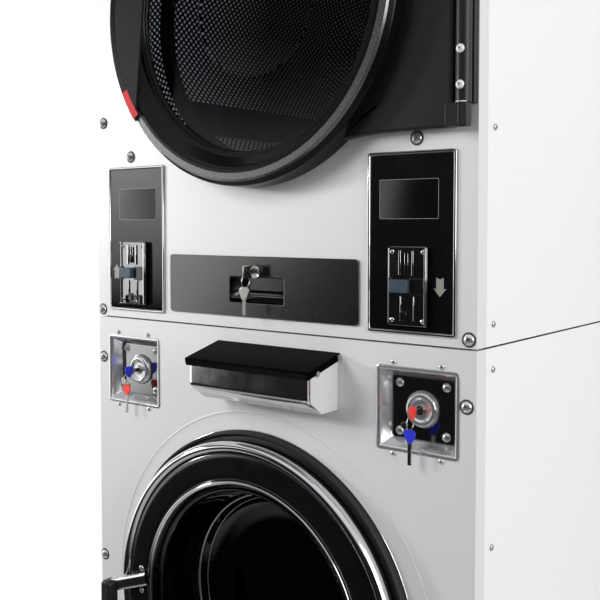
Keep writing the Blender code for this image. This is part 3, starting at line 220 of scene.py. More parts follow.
def grain_on(tree, shader, rgb, grain_mm, tones, rough, bump_mm=0.0):
    """Noise of a real size in millimetres on Object coordinates, one size or one for each axis: it tones
    the colour between two factors, moves the roughness between two values, and lifts the surface by
    bump_mm. The noise mostly stays between weak and strong."""
    weak, strong = 0.25, 0.75
    where = add(tree, "ShaderNodeTexCoord")
    scale = tuple(per_mm(size) for size in np.broadcast_to(grain_mm, 3))
    sized = add(tree, "ShaderNodeMapping", {"Vector": where.outputs["Object"], "Scale": scale})
    noise = add(tree, "ShaderNodeTexNoise", {"Vector": sized.outputs["Vector"], "Scale": 1.0,
                                             "Detail": 3.0})
    ramp = add(tree, "ShaderNodeValToRGB", {"Fac": noise.outputs["Fac"]})
    for stop, place, tone in zip(ramp.color_ramp.elements, (weak, strong), tones):
        stop.position = place
        stop.color = shade(rgb, tone)
    tree.links.new(ramp.outputs["Color"], shader.inputs["Base Color"])
    sheen = add(tree, "ShaderNodeMapRange", {"Value": noise.outputs["Fac"], "From Min": weak,
                                             "From Max": strong, "To Min": rough[0], "To Max": rough[1]})
    tree.links.new(sheen.outputs["Result"], shader.inputs["Roughness"])
    if bump_mm:
        bump = add(tree, "ShaderNodeBump", {"Height": noise.outputs["Fac"], "Strength": 0.6,
                                            "Distance": bump_mm / 1000})
        tree.links.new(bump.outputs["Normal"], shader.inputs["Normal"])


def grained(name, rgb, grain_mm, tones, rough, bump_mm=0.0, **sockets):
    """A finish with one grain all over, and with the shader values that are the same all over."""
    made, tree, shader = start_material(name, **sockets)
    grain_on(tree, shader, rgb, grain_mm, tones, rough, bump_mm)
    return made


def brushed_stainless(c):
    # Brushed sheet: level lines far longer than wide, so reflections smear into a soft grey sheen.
    # Real lines are about 0.3 mm wide, too fine for the render, so they are drawn 1.4 mm wide.
    return grained("brushed_stainless", c.panel, (260, 1.4, 1.4), (0.98, 1.015), (0.40, 0.50), Metallic=0.18)


def polished_stainless(c):
    # Polished sheet: near mirror, with wiped patches a few centimetres wide that soften it slightly.
    return grained("polished_stainless", c.polished, 45, (0.96, 1.0), (0.05, 0.13), Metallic=1.0)


def satin_stainless(c):
    # Satin pressed sheet: softer than the polished steel, even, with faint clouds of about 12 mm.
    return grained("satin_stainless", c.polished, 12, (0.96, 1.02), (0.16, 0.21), Metallic=0.8)


def dark_chrome(c):
    # Smoked chrome of the face plates: a dim clear mirror, with faint clouds of about 20 mm.
    return grained("dark_chrome_plate", c.polished, 20, (0.42, 0.48), (0.08, 0.13), Metallic=1.0)


def charcoal_powder_coat(c):
    # Powder coat over steel: a pebble of about 1.6 mm that breaks highlights into a soft grey bloom.
    return grained("charcoal_powder_coat", c.charcoal, 1.6, (0.86, 1.16), (0.36, 0.48), bump_mm=0.12,
                   Specular_IOR_Level=0.32)


def semi_gloss_coat(c):
    # Smooth stoved coat of the door ring: near black, with clear soft highlights along its edges.
    return grained("semi_gloss_coat", c.black, 1.2, (0.9, 1.5), (0.18, 0.26), bump_mm=0.03,
                   Specular_IOR_Level=0.15)


def crown_highlight_coat(c):
    # Grained coat on the ring's flat crown: charcoal painted 2 to 3.8 times lighter as a painted highlight
    # band, with strong specular and coat that catch the light from the left.
    return grained("crown_painted_highlight_coat", c.charcoal, 1.5, (2.0, 3.8), (0.22, 0.32), bump_mm=0.06,
                   Specular_IOR_Level=1.0, Coat_Weight=0.8, Coat_Roughness=0.2)


def matt_coat(c):
    # Matt textured coat of the pull plate: charcoal that shows little of the lamps.
    return grained("matt_powder_coat", c.charcoal, 1.8, (0.9, 1.7), (0.42, 0.5), bump_mm=0.15,
                   Specular_IOR_Level=0.05)


def textured_coat(c):
    # Coarser textured coat of the lint drawer: grains of about 2 mm that catch light from the side.
    return grained("textured_powder_coat", c.black, 2.0, (0.3, 1.1), (0.12, 0.28), bump_mm=0.10,
                   Specular_IOR_Level=1.0, Coat_Weight=1.0, Coat_Roughness=0.14)


def satin_black_moulding(c):
    # Moulded lid: deep black with a satin face that hardly mirrors the panel behind it.
    return grained("satin_black_moulding", c.black, 8, (0.35, 0.5), (0.32, 0.42), bump_mm=0.02,
                   Specular_IOR_Level=0.01)


def gloss_black_enamel(c):
    # Stoved gloss enamel: deep black with clear highlights and a faint orange peel.
    return grained("gloss_black_enamel", c.black, 30, (0.9, 1.3), (0.14, 0.22), bump_mm=0.01,
                   Coat_Weight=0.6, Coat_Roughness=0.05)


def nitrile_rubber(c):
    # Moulded rubber: matt black with a grey bloom, no clear highlight.
    return grained("nitrile_rubber", c.rubber, 5, (0.8, 1.4), (0.55, 0.75), bump_mm=0.05)


def display_window(c):
    # Display window: the same dark glass with a bow of 4 mm across it, so that it mirrors the light in a
    # soft gradient. The bow is too shallow to see as shape and is given to the shading alone. Its specular
    # and coat weights are higher on the left, a painted reflection that mirrors more there.
    made, tree, shader = start_material("display_window")
    grain_on(tree, shader, c.acrylic, 60, (0.8, 1.0), (0.08, 0.14))
    # The two windows stand one gap apart, so the fraction of x over the gap is the same place on each.
    # From it comes a value that is 1 at a window's left edge and 0 at its right edge.
    where = add(tree, "ShaderNodeTexCoord")
    axes = add(tree, "ShaderNodeSeparateXYZ", {"Vector": where.outputs["Object"]})
    gap = 2 * WINDOW_X
    gaps = add(tree, "ShaderNodeMath", {0: axes.outputs["X"], 1: gap}, operation="DIVIDE")
    place = add(tree, "ShaderNodeMath", {0: gaps.outputs[0]}, operation="FRACT")
    from_right = add(tree, "ShaderNodeMath", {0: place.outputs[0], 1: -gap / WINDOW_W,
                                              2: 0.5 + 0.5 * gap / WINDOW_W}, operation="MULTIPLY_ADD")
    sheen_left, sheen_right = 1.45, 0.6
    for socket, level in (("Specular IOR Level", 0.4), ("Coat Weight", 0.3)):
        painted_sheen = add(tree, "ShaderNodeMath", {0: from_right.outputs[0], 1: (sheen_left - sheen_right) * level,
                                            2: sheen_right * level}, operation="MULTIPLY_ADD")
        tree.links.new(painted_sheen.outputs[0], shader.inputs[socket])
    bow = add(tree, "ShaderNodeMath", {0: from_right.outputs[0], 1: 2.0}, operation="POWER")
    bump = add(tree, "ShaderNodeBump", {"Height": bow.outputs[0], "Strength": 1.0, "Distance": 0.004},
               invert=True)
    tree.links.new(bump.outputs["Normal"], shader.inputs["Normal"])
    return made


def smoked_acrylic(c):
    # Back-painted panel glass: black with a mirror-smooth face and faint wiping marks. Its specular and coat
    # weights rise towards the top, a painted reflection that mirrors more of the room there.
    made, tree, shader = start_material("smoked_acrylic", Coat_Roughness=0.03)
    grain_on(tree, shader, c.acrylic, 60, (0.9, 1.2), (0.06, 0.14))
    low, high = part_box("control_glass_left")
    where = add(tree, "ShaderNodeTexCoord")
    axes = add(tree, "ShaderNodeSeparateXYZ", {"Vector": where.outputs["Object"]})
    for socket, foot, head in (("Specular IOR Level", 0.0, 0.75), ("Coat Weight", 0.0, 1.0)):
        painted_sheen = add(tree, "ShaderNodeMapRange", {"Value": axes.outputs["Z"], "From Min": low.z,
                                                "From Max": high.z, "To Min": foot, "To Max": head})
        tree.links.new(painted_sheen.outputs["Result"], shader.inputs[socket])
    return made


def tinted_glass(name, rgb, mirror=1.0):
    # Toughened door glass: grey tint, smooth, with a slight ripple from the furnace rollers.
    # The mirror factor dims what its face reflects.
    return grained(name, rgb, 90, (0.94, 1.0), (0.0, 0.02), IOR=1.5, Transmission_Weight=1.0,
                   Specular_Tint=(mirror, mirror, mirror, 1.0))


def painted_sheet(c):
    # Satin baked enamel on sheet: pale, even, with an orange peel of about 3 mm.
    return grained("satin_baked_enamel", c.paint, 3, (0.98, 1.01), (0.36, 0.44), bump_mm=0.03,
                   Coat_Weight=0.1)


def galvanised_sheet(c):
    # Hot-dip zinc: crystal flakes of about 12 mm, each a slightly different grey.
    made, tree, shader = start_material("galvanised_sheet", Metallic=0.8)
    where = add(tree, "ShaderNodeTexCoord")
    flake = add(tree, "ShaderNodeTexVoronoi", {"Vector": where.outputs["Object"], "Scale": per_mm(12)})
    ramp = add(tree, "ShaderNodeValToRGB", {"Fac": flake.outputs["Color"]})
    ramp.color_ramp.elements[0].color = shade(c.zinc, 0.8)
    ramp.color_ramp.elements[1].color = shade(c.zinc, 1.1)
    tree.links.new(ramp.outputs["Color"], shader.inputs["Base Color"])
    sheen = add(tree, "ShaderNodeMapRange", {"Value": flake.outputs["Color"], "To Min": 0.3, "To Max": 0.5})
    tree.links.new(sheen.outputs["Result"], shader.inputs["Roughness"])
    return made


def painted_casting(c):
    # Sand casting under paint: dark, with a grit of about 2.5 mm.
    return grained("painted_casting", c.cast, 2.5, (0.8, 1.15), (0.45, 0.65), bump_mm=0.2, Metallic=0.2)


def motor_enamel(c):
    # Sprayed enamel: blue-grey, with a little dust held in an orange peel of about 4 mm.
    return grained("motor_enamel", c.motor, 4, (0.85, 1.1), (0.35, 0.5), bump_mm=0.06)


def nickel_plate(c):
    # Bright nickel on brass: a warm grey mirror with handling scuffs of about 6 mm.
    return grained("nickel_plate", c.nickel, 6, (0.9, 1.02), (0.12, 0.24), Metallic=1.0)


def moulded_plastic(name, rgb, gloss=0.5):
    # Moulded or printed plastic, as key heads, the tab and the print: even colour, soft satin face.
    return grained(name, rgb, 2, (0.9, 1.08), (0.28, 0.4), bump_mm=0.03, Specular_IOR_Level=gloss)


def perforated_steel(name, c, s, painted_glow):
    # Punched drum sheet: staggered round holes. Each hole is painted as a pale dot with a painted glow by
    # emission, standing in for light from the casing behind, dimmer further in; the steel between is painted
    # darker as shade inside the drum. The pattern follows the wall on its UV map, in metres.
    made, tree, shader = start_material(name, Emission_Color=(0.92, 0.94, 1.0, 1.0), Roughness=0.38)
    where = add(tree, "ShaderNodeUVMap", uv_map="wall")
    grid = add(tree, "ShaderNodeMapping", {"Vector": where.outputs["UV"],
                                           "Rotation": (0.0, 0.0, np.radians(45.0)),
                                           "Scale": (1 / s.hole_pitch, 1 / s.hole_pitch, 1.0)})
    cell = add(tree, "ShaderNodeTexVoronoi", {"Vector": grid.outputs["Vector"], "Scale": 1.0,
                                              "Randomness": 0.0}, voronoi_dimensions="2D")
    edge, blur = s.hole_r / s.hole_pitch, 0.03
    ramp = add(tree, "ShaderNodeValToRGB", {"Fac": cell.outputs["Distance"]})
    for stop, place, tone in zip(ramp.color_ramp.elements, (edge - blur, edge + blur),
                                 (shade(c.zinc, 0.7), shade(c.drum, 0.25))):
        stop.position = place
        stop.color = tone
    tree.links.new(ramp.outputs["Color"], shader.inputs["Base Color"])
    spot = add(tree, "ShaderNodeTexCoord")
    axes = add(tree, "ShaderNodeSeparateXYZ", {"Vector": spot.outputs["Object"]})
    painted_glow_fade = add(tree, "ShaderNodeMapRange", {"Value": axes.outputs["Y"], "From Min": FRONT + 0.05,
                                            "From Max": FRONT + 0.45, "To Min": painted_glow, "To Max": painted_glow * 0.12})
    for socket, hole, sheet in (("Metallic", 0.0, 0.9), ("Emission Strength", painted_glow_fade.outputs["Result"], 0.0)):
        value = add(tree, "ShaderNodeMapRange", {"Value": cell.outputs["Distance"], "From Min": edge - blur,
                                                 "From Max": edge + blur, "To Min": hole, "To Max": sheet})
        tree.links.new(value.outputs["Result"], shader.inputs[socket])
    return made


def wool_felt(c):
    # Pressed wool felt: dark grey, fuzzy, with matted fibres of about 1.5 mm.
    return grained("wool_felt", c.cast, 1.5, (0.6, 1.0), (0.85, 0.95), bump_mm=0.3, Sheen_Weight=0.4)


def finishes():
    """Every finish by name, made once from the colour settings."""
    c, s = bpy.context.scene.laundry_colours, bpy.context.scene.laundry_sizes
    return {
        "panel": brushed_stainless(c), "polished": polished_stainless(c), "satin": satin_stainless(c),
        "dark_chrome": dark_chrome(c), "crown": crown_highlight_coat(c), "window": display_window(c),
        "charcoal": charcoal_powder_coat(c), "textured": textured_coat(c),
        "semi_gloss": semi_gloss_coat(c), "matt": matt_coat(c),
        "black": gloss_black_enamel(c), "lid": satin_black_moulding(c),
        "rubber": nitrile_rubber(c), "acrylic": smoked_acrylic(c),
        "glass": tinted_glass("tinted_toughened_glass", c.tint, 0.3),
        "bowl": tinted_glass("pressed_bowl_glass", c.bowl),
        "paint": painted_sheet(c), "zinc": galvanised_sheet(c), "cast": painted_casting(c),
        "motor": motor_enamel(c), "nickel": nickel_plate(c),
        # The dryer's holes carry a painted glow; the washer's carry none.
        "dryer_drum": perforated_steel("perforated_dryer_steel", c, s, 0.3),
        "washer_drum": perforated_steel("perforated_washer_steel", c, s, 0.0),
        "felt": wool_felt(c), "blue": moulded_plastic("blue_key_plastic", c.key_blue),
        "red": moulded_plastic("red_key_plastic", c.key_red),
        "tab": moulded_plastic("red_tab_vinyl", c.tab, 0.15),
        "print": moulded_plastic("grey_screen_print", c.print_grey),
    }


# Filled by the first operator, and read by every piece.
FINISH = {}


# Shapes


def soften(points, radius, steps=4, closed=False):
    """Rounds a polyline's corners: each becomes the quadratic curve (1-t)^2 A + 2t(1-t) P + t^2 B,
    where A and B lie one radius from the corner P along its two sides. One more point a little past
    each of A and B keeps the flats beside a corner flat in the shading. A corner takes at most 0.42 of
    a side."""
    most, past = 0.42, 1.15
    p = np.asarray(points, float)
    ring = np.concatenate([p[-1:], p, p[:1]]) if closed else p
    at = ring[1:-1]
    r = np.broadcast_to(np.asarray(radius, float), (len(at),))[:, None]
    back, on = ring[:-2] - at, ring[2:] - at
    reach_back = np.linalg.norm(back, axis=1, keepdims=True)
    reach_on = np.linalg.norm(on, axis=1, keepdims=True)
    step_back = back / reach_back * np.minimum(r, reach_back * most)
    step_on = on / reach_on * np.minimum(r, reach_on * most)
    a, b = at + step_back, at + step_on
    t = np.linspace(0, 1, steps + 1)[None, :, None]
    bend = (1 - t) ** 2 * a[:, None] + 2 * t * (1 - t) * at[:, None] + t ** 2 * b[:, None]
    bend = np.concatenate([(at + past * step_back)[:, None], bend, (at + past * step_on)[:, None]], 1)
    bend = bend.reshape(-1, p.shape[1])
    return bend if closed else np.concatenate([p[:1], bend, p[-1:]])


def lathe(profile, centre, steps, along="Y", turn=(0.0, 2 * np.pi)):
    """Turns a profile (radius, distance) about a line through centre: ring k is the circle of radius r_k
    at distance d_k along the line. A part turn goes from one angle to the other and has points on both."""
    r, d = (v[:, None] for v in np.asarray(profile, float).T)
    full = np.isclose(turn[1] - turn[0], 2 * np.pi)
    a = np.linspace(turn[0], turn[1], steps, endpoint=not full)[None, :]
    across, up, far = r * np.cos(a), r * np.sin(a), d + 0 * a
    parts = {"Y": (across, far, up), "Z": (across, up, far), "X": (far, across, up)}[along]
    return np.stack(parts, -1) + np.asarray(centre)


def rounded_rect(x, z, width, height, radius, steps=5):
    """A rectangle's outline with round corners: corner centres plus radius times (cos a, sin a)."""
    a = (np.arange(4)[:, None] + np.linspace(0, 1, steps)[None, :]) * np.pi / 2
    sign = np.array([(1, 1), (-1, 1), (-1, -1), (1, -1)])[:, None, :]
    core = sign * (np.array((width, height)) / 2 - radius)
    return (core + radius * np.stack([np.cos(a), np.sin(a)], -1)).reshape(-1, 2) + (x, z)


def circle(x, z, radius, steps=32):
    """A circle's outline: centre plus radius times (cos a, sin a)."""
    a = np.linspace(0, 2 * np.pi, steps, endpoint=False)
    return np.stack([x + radius * np.cos(a), z + radius * np.sin(a)], -1)


def carry(outline, profile):
    """Carries a profile (inset, depth) round an outline that runs anticlockwise seen from the front:
    each point moves inwards along the mitre of its two sides and stands at that depth."""
    p = np.asarray(outline, float)
    side = np.roll(p, -1, 0) - p
    side /= np.linalg.norm(side, axis=1, keepdims=True)
    inward = np.stack([-side[:, 1], side[:, 0]], -1)
    before = np.roll(inward, 1, 0)
    mitre = (before + inward) / (1 + np.sum(before * inward, 1, keepdims=True))
    inset, depth = np.asarray(profile, float).T
    flat = p[None] + inset[:, None, None] * mitre[None]
    y = np.broadcast_to((FRONT + depth)[:, None], flat.shape[:2])
    return np.stack([flat[..., 0], y, flat[..., 1]], -1)


def sweep(path, section):
    """Carries a closed section (side, normal) along a path: side is Z x tangent, and normal is
    tangent x side."""
    tangent = np.gradient(path, axis=0)
    tangent /= np.linalg.norm(tangent, axis=1, keepdims=True)
    side = np.cross((0.0, 0.0, 1.0), tangent)
    side /= np.linalg.norm(side, axis=1, keepdims=True)
    normal = np.cross(tangent, side)
    return path[:, None] + section[None, :, :1] * side[:, None] + section[None, :, 1:] * normal[:, None]


def shell(rings, caps=True, loop=False):
    """Faces over a grid of closed rings: quad k, j joins points j and j+1 of rings k and k+1. Caps close
    the two ends with one face each; loop joins the last ring to the first."""
    n, m = rings.shape[:2]
    k = np.arange(n if loop else n - 1)[:, None]
    j = np.arange(m)[None, :]
    nxt, far = (k + 1) % n, (j + 1) % m
    quads = np.stack(np.broadcast_arrays(k * m + j, k * m + far, nxt * m + far, nxt * m + j), -1)
    faces = quads.reshape(-1, 4).tolist()
    if caps:
        faces += [list(range(m - 1, -1, -1)), list(range((n - 1) * m, n * m))]
    return rings.reshape(-1, 3), faces


def turned(profile, centre, steps, along="Y"):
    """A turned solid: a profile that starts and ends at the axis, carried a whole turn round it."""
    return shell(lathe(profile, centre, steps, along), caps=False)


def hoop(section, centre, steps, along="Y"):
    """A ring: a closed section carried a whole turn round the axis."""
    return shell(lathe(section, centre, steps, along), caps=False, loop=True)


def part_hoop(section, centre, steps, turn):
    """A part of a ring: a closed section carried from one angle to another, with both ends capped."""
    return shell(lathe(section, centre, steps, turn=turn).transpose(1, 0, 2))


def border(outline, section):
    """A frame: a closed section (inset, depth) carried round an outline."""
    return shell(carry(outline, section), caps=False, loop=True)


def rod(centre, radius, start, end, steps=24, along="Z", edge=0.001):
    """A round rod with softened ends, from start to end along an axis through centre."""
    profile = soften([(0.0, start), (radius, start), (radius, end), (0.0, end)], edge)
    return turned(profile, centre, steps, along)


def above_and_below(start, end):
    """A stretch from start to end above the middle, and the same stretch below it."""
    return ((-end, -start), (start, end))


def piece(name, shells, finish, body, stands_for=(), uv=None):
    """Puts shells into one mesh at the origin, merges poles, turns faces outwards, and lets it ride.
    Edges that bend by more than 38 degrees stay sharp in the shading."""
    points, faces, start = [], [], 0
    for verts, quads in shells:
        points.append(verts)
        faces += [[start + i for i in face] for face in quads]
        start += len(verts)
    mesh = bpy.data.meshes.new(name)
    mesh.from_pydata(np.concatenate(points).tolist(), [], faces)
    if uv is not None:
        layer = mesh.uv_layers.new(name="wall")
        layer.data.foreach_set("uv", uv.astype(np.float32).ravel())
    work = bmesh.new()
    work.from_mesh(mesh)
    bmesh.ops.remove_doubles(work, verts=work.verts, dist=1e-6)
    bmesh.ops.recalc_face_normals(work, faces=work.faces)
    work.to_mesh(mesh)
    work.free()
    mesh.shade_smooth()
    mesh.set_sharp_from_angle(angle=np.radians(38.0))
    mesh.materials.append(FINISH[finish])
    made = bpy.data.objects.new(name, mesh)
    bpy.context.scene.collection.objects.link(made)
    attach(made, body)
    if stands_for:
        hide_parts(*stands_for)


def plate(outline, back, front, edge):
    """A plate with a rounded front edge: the outline goes from back to front and turns in over the edge,
    a quarter circle, then on by half an edge so that the face is flat in the shading."""
    arc = np.linspace(0, np.pi / 2, 5)
    turn = np.stack([edge * (1 - np.cos(arc)), front + edge * (1 - np.sin(arc))], -1)
    return shell(carry(outline, np.concatenate([[(0.0, back)], turn, [(edge * 1.5, front)]])))


def screw(x, z, depth, radius):
    """A domed head with a round drive recess, turned: the dome is most of a quarter of an ellipse."""
    a = np.linspace(0, np.pi / 2 * 0.74, 7)
    dome = np.stack([radius * np.cos(a), depth - radius * 0.62 * np.sin(a)], -1)
    drive = [(radius * 0.36, depth - radius * 0.5), (radius * 0.34, depth - radius * 0.15),
             (0.0, depth - radius * 0.12)]
    profile = np.concatenate([[(0.0, depth), (radius, depth)], dome[1:], drive])
    return turned(profile, (x, FRONT, z), 18)


def key_ring(x, depth, z, radius):
    """A wire ring seen edge-on from the front: a small circle carried round a large one."""
    return hoop(circle(radius, 0.0, 0.0008, 10), (x, FRONT + depth, z), 28, "X")


def bar(low, high, edge):
    """A bar between two corners, with rounded front edges: a rounded rectangle carried in depth."""
    (x0, d0, z0), (x1, d1, z1) = low, high
    outline = rounded_rect((x0 + x1) / 2, (z0 + z1) / 2, x1 - x0, z1 - z0, edge * 1.6, 4)
    return plate(outline, d1, d0, edge)


def face_to(made, face):
    """Carries a shape made for the front to another face: its width runs along that face and its depth
    still counts into the machine. On the top, its height runs to the rear."""
    points, faces = made
    x, depth, z = points[:, 0], points[:, 1] - FRONT, points[:, 2]
    carried = {"rear": (-x, REAR - depth, z), "right": (SIDE_X - depth, x, z),
               "left": (depth - SIDE_X, -x, z), "top": (x, z, TOP - depth)}[face]
    return np.stack(carried, -1), faces


def louvre(x, z, width, height, out):
    """A pressed louvre: a hood of thin sheet, a quarter of an ellipse in section, open below. Its ends run
    down to the panel as 1.02 - u^6, with u from -1 to 1 along it."""
    sheet = 0.001
    a = np.linspace(0, np.pi / 2, 7)
    outer = np.stack([out * np.sin(a), height * np.cos(a)], -1)
    inner = np.stack([(out - sheet) * np.sin(a), (height - sheet) * np.cos(a)], -1)[::-1]
    section = np.concatenate([outer, inner])
    u = np.linspace(-1, 1, 17)[:, None]
    lift = section[None, :, 0] * (1.02 - u ** 6)
    along = np.broadcast_to(x + u * width / 2, lift.shape)
    up = np.broadcast_to(z - height / 2 + section[None, :, 1], lift.shape)
    return shell(np.stack([along, FRONT - 0.0002 - lift, up], -1))


def edge_on(made, x, depth):
    """Turns a flat shape edge-on about the upright line at (x, depth): its width then runs in depth."""
    points, faces = made
    width, thickness = points[:, 0] - x, points[:, 1] - FRONT - depth
    return np.stack([x + thickness, FRONT + depth + width, points[:, 2]], -1), faces


def hanging_key(x, depth, z, size, blade):
    """A key's two parts: a three-lobed head, r = s (1 + 0.13 cos 3a), and a notched blade below."""
    a = np.linspace(0, 2 * np.pi, 40, endpoint=False)
    lobed = size * 0.52 * (1 + 0.13 * np.cos(3 * (a + np.pi / 2)))
    trefoil = np.stack([x + lobed * np.cos(a), z - size * 0.55 + 1.12 * lobed * np.sin(a)], -1)
    head = plate(trefoil, depth + 0.0013, depth - 0.0013, 0.0008)
    t = np.linspace(0, 1, 25)
    notch = 0.0016 * (np.abs((t * 7) % 1 - 0.5) * 2) * (t > 0.25)
    low = z - size * 1.1 - t * blade
    right = np.stack([x + 0.0040 - notch, low], -1)
    left = np.stack([np.full(25, x - 0.0034), low], -1)[::-1]
    edge = np.concatenate([right, left])[::-1]
    return head, plate(edge, depth + 0.0010, depth - 0.0010, 0.0004)


def side_on(x, outline):
    """An outline of (depth, height) points set in the upright plane at x."""
    return np.stack([np.full(len(outline), x), FRONT + outline[:, 0], outline[:, 1]], -1)


def wall_uv(section, steps, radius):
    """A UV map in metres for each quad of a turned sheet: u runs round the wall at its radius, and v is
    the length along the section."""
    run = np.concatenate([[0], np.cumsum(np.linalg.norm(np.diff(section, axis=0), axis=1))])
    k, j = np.meshgrid(np.arange(len(section) - 1), np.arange(steps), indexing="ij")
    step = 2 * np.pi * radius / steps
    corners = [np.stack([(j + dj) * step, run[k + dk]], -1) for dk, dj in ((0, 0), (0, 1), (1, 1), (1, 0))]
    return np.stack(corners, 2).reshape(-1, 2)


def drum_rib(centre, base, lifter, front, back, angle):
    """A lifting rib: a softened wedge that stands inwards from the wall at an angle, carried in depth."""
    out = np.array((np.cos(angle), 0.0, np.sin(angle)))
    side = np.array((-np.sin(angle), 0.0, np.cos(angle)))
    wedge = soften([(-0.03, base), (0.03, base), (0.008, base - lifter), (-0.008, base - lifter)],
                   0.012, closed=True)
    flat = wedge[:, :1] * side + wedge[:, 1:] * out
    ends = np.stack([flat + np.array((0.0, depth, 0.0)) for depth in (front, back)])
    return shell(ends + np.asarray(centre))


def lock_barrel(x, z, face, out, radius, flange):
    """A cam lock's face: flange, raised plug and key slot rim, turned about the lock's axis."""
    profile = soften([(0.0, face + 0.018), (radius, face + 0.018), (radius, face), (flange, face),
                      (flange, out - 0.002), (flange * 0.86, out), (radius * 0.7, out),
                      (radius * 0.62, out + 0.0016), (0.0, out + 0.0016)], 0.0008, 3)
    return turned(profile, (x, FRONT, z), 36)


# Operators


class LAUNDRY_OT_finishes(Operator):
    """Make the finishes and give one to each carried-over solid"""

    bl_idname = "laundry.finishes"
    bl_label = "Finishes"

    def execute(self, context):
        FINISH.update(finishes())
        slots = {"stainless": "panel", "polished": "polished", "charcoal": "charcoal", "black": "black",
                 "rubber": "rubber", "glass": "glass", "painted": "paint", "zinc": "zinc", "cast": "cast",
                 "motor": "motor", "lock": "nickel"}
        for part in frame["record"]["subparts"]:
            materials = frame["nodes"][part["node"]].data.materials
            materials.clear()
            materials.append(FINISH[slots[part["material_slot"]]])
        return {"FINISHED"}


class LAUNDRY_OT_dryer_door(Operator):
    """Dryer door: turned ring, hinge plate, glass, felt seal, crescent handle and pull tab"""

    bl_idname = "laundry.dryer_door"
    bl_label = "Dryer door"

    def execute(self, context):
        steps = context.scene.laundry_sizes.turn_steps
        self.ring(steps)
        self.hinge_plate()
        self.glass(steps)
        self.handle()
        return {"FINISHED"}

    def ring(self, steps):
        """The ring and the flat grained crown on it: two sections turned about the door's middle."""
        section = soften([(0.322, -0.008), (0.3205, -0.049), (0.3095, -0.0605), (0.2905, -0.0610),
                          (0.2865, -0.0570), (0.2685, -0.0345), (0.2640, -0.0335), (0.2615, -0.0260),
                          (0.258, -0.0225), (0.258, -0.018), (0.2700, -0.018), (0.2700, -0.008)],
                         0.0022, closed=True)
        piece("dryer_door_ring", [hoop(section, DRYER, steps)], "semi_gloss", "dryer_door",
              ("dryer_door_frame",))
        crown = soften([(0.2972, -0.0580), (0.2982, -0.0612), (0.3105, -0.0612), (0.3132, -0.0570)], 0.0008)
        # The crown's finish is charcoal painted lighter, a painted highlight band.
        piece("dryer_ring_crown", [hoop(crown, DRYER, steps)], "crown", "dryer_door")

    def hinge_plate(self):
        """A plate that hugs the ring: an arc on the ring, then a quadratic curve that leaves the arc along
        its tangent and runs out level, then a straight edge at the hinge; the upper half mirrors the lower.
        Knuckles and links join it to the pin."""
        hug, meet, hinge_edge = 0.3105, np.radians(58.0), 0.401
        start = hug * np.array((np.cos(meet), -np.sin(meet)))
        lean = np.array((np.sin(meet), np.cos(meet)))
        bend = start + lean * (-PLATE_HALF - start[1]) / lean[1]
        flat = np.array((0.31, -PLATE_HALF))
        t = np.linspace(0, 1, 14)[:, None]
        lower = start * (1 - t) ** 2 + bend * 2 * t * (1 - t) + flat * t ** 2
        corner = soften([flat, (hinge_edge, -PLATE_HALF), (hinge_edge, PLATE_HALF), flat * (1, -1)],
                        0.006)[1:-1]
        upper = lower[::-1] * (1, -1)
        a = np.linspace(meet, -meet, 40)[1:-1]
        hugging = hug * np.stack([np.cos(a), np.sin(a)], -1)
        outline = np.concatenate([lower, corner, upper, hugging]) + (0.0, DRYER.z)
        knuckles = [rod(PIN, 0.0085, low, high) for low, high in above_and_below(0.2083, PLATE_HALF)]
        links = [bar((0.3925, -0.0362, DRYER.z + low), (0.4280, -0.0195, DRYER.z + high), 0.0015)
                 for low, high in above_and_below(0.2088, PLATE_HALF)]
        piece("dryer_hinge_plate", [plate(outline, -0.010, -0.025, 0.004)] + knuckles + links, "charcoal",
              "dryer_door")

    def glass(self, steps):
        """The slightly domed pane and the felt seal behind the ring, both turned."""
        pane = soften([(0.0, -0.0063), (0.129, -0.0077), (0.2575, -0.0120), (0.2697, -0.0120),
                       (0.2697, -0.0177), (0.2575, -0.0177), (0.129, -0.0134), (0.0, -0.0120)], 0.002)
        piece("dryer_glass", [turned(pane, DRYER, steps)], "glass", "dryer_door",
              ("dryer_door_glass",))
        felt = soften([(0.300, -0.0078), (0.318, -0.0078), (0.318, -0.002), (0.300, -0.002)], 0.002,
                      closed=True)
        piece("dryer_felt_seal", [hoop(felt, DRYER, steps)], "felt", "dryer_door")

    def handle(self):
        """The crescent is the segment that a chord cuts from a disc, leaning a little. A tab and a dark
        rim are folded over its round edge: thin angles carried along the arc."""
        reach, chord, lean = 0.312, 0.223, np.radians(6.0)
        half_turn = np.arccos(chord / reach)
        a = np.linspace(np.pi - half_turn, np.pi + half_turn, 48) - lean
        moon = reach * np.stack([np.cos(a), np.sin(a)], -1) + (0.0, DRYER.z)
        piece("dryer_handle", [plate(moon, -0.0613, -0.0663, 0.0012)], "matt", "dryer_door",
              ("dryer_door_handle",))
        rim_start, tab_start, tab_end = np.radians((131.0, 206.5, 217.5))
        folded = (("dryer_pull_tab", "tab", 0.2975, -0.0668, 14, (tab_start, tab_end)),
                  ("dryer_handle_rim", "semi_gloss", 0.2995, -0.0666, 60, (rim_start, tab_start)))
        for name, finish, inner, out, steps, turn in folded:
            skin = [(inner, out), (0.3124, out), (0.3124, -0.0630), (0.3120, -0.0630),
                    (0.3120, out + 0.0006), (inner, out + 0.0006)]
            piece(name, [part_hoop(skin, DRYER, steps, turn)], finish, "dryer_door")


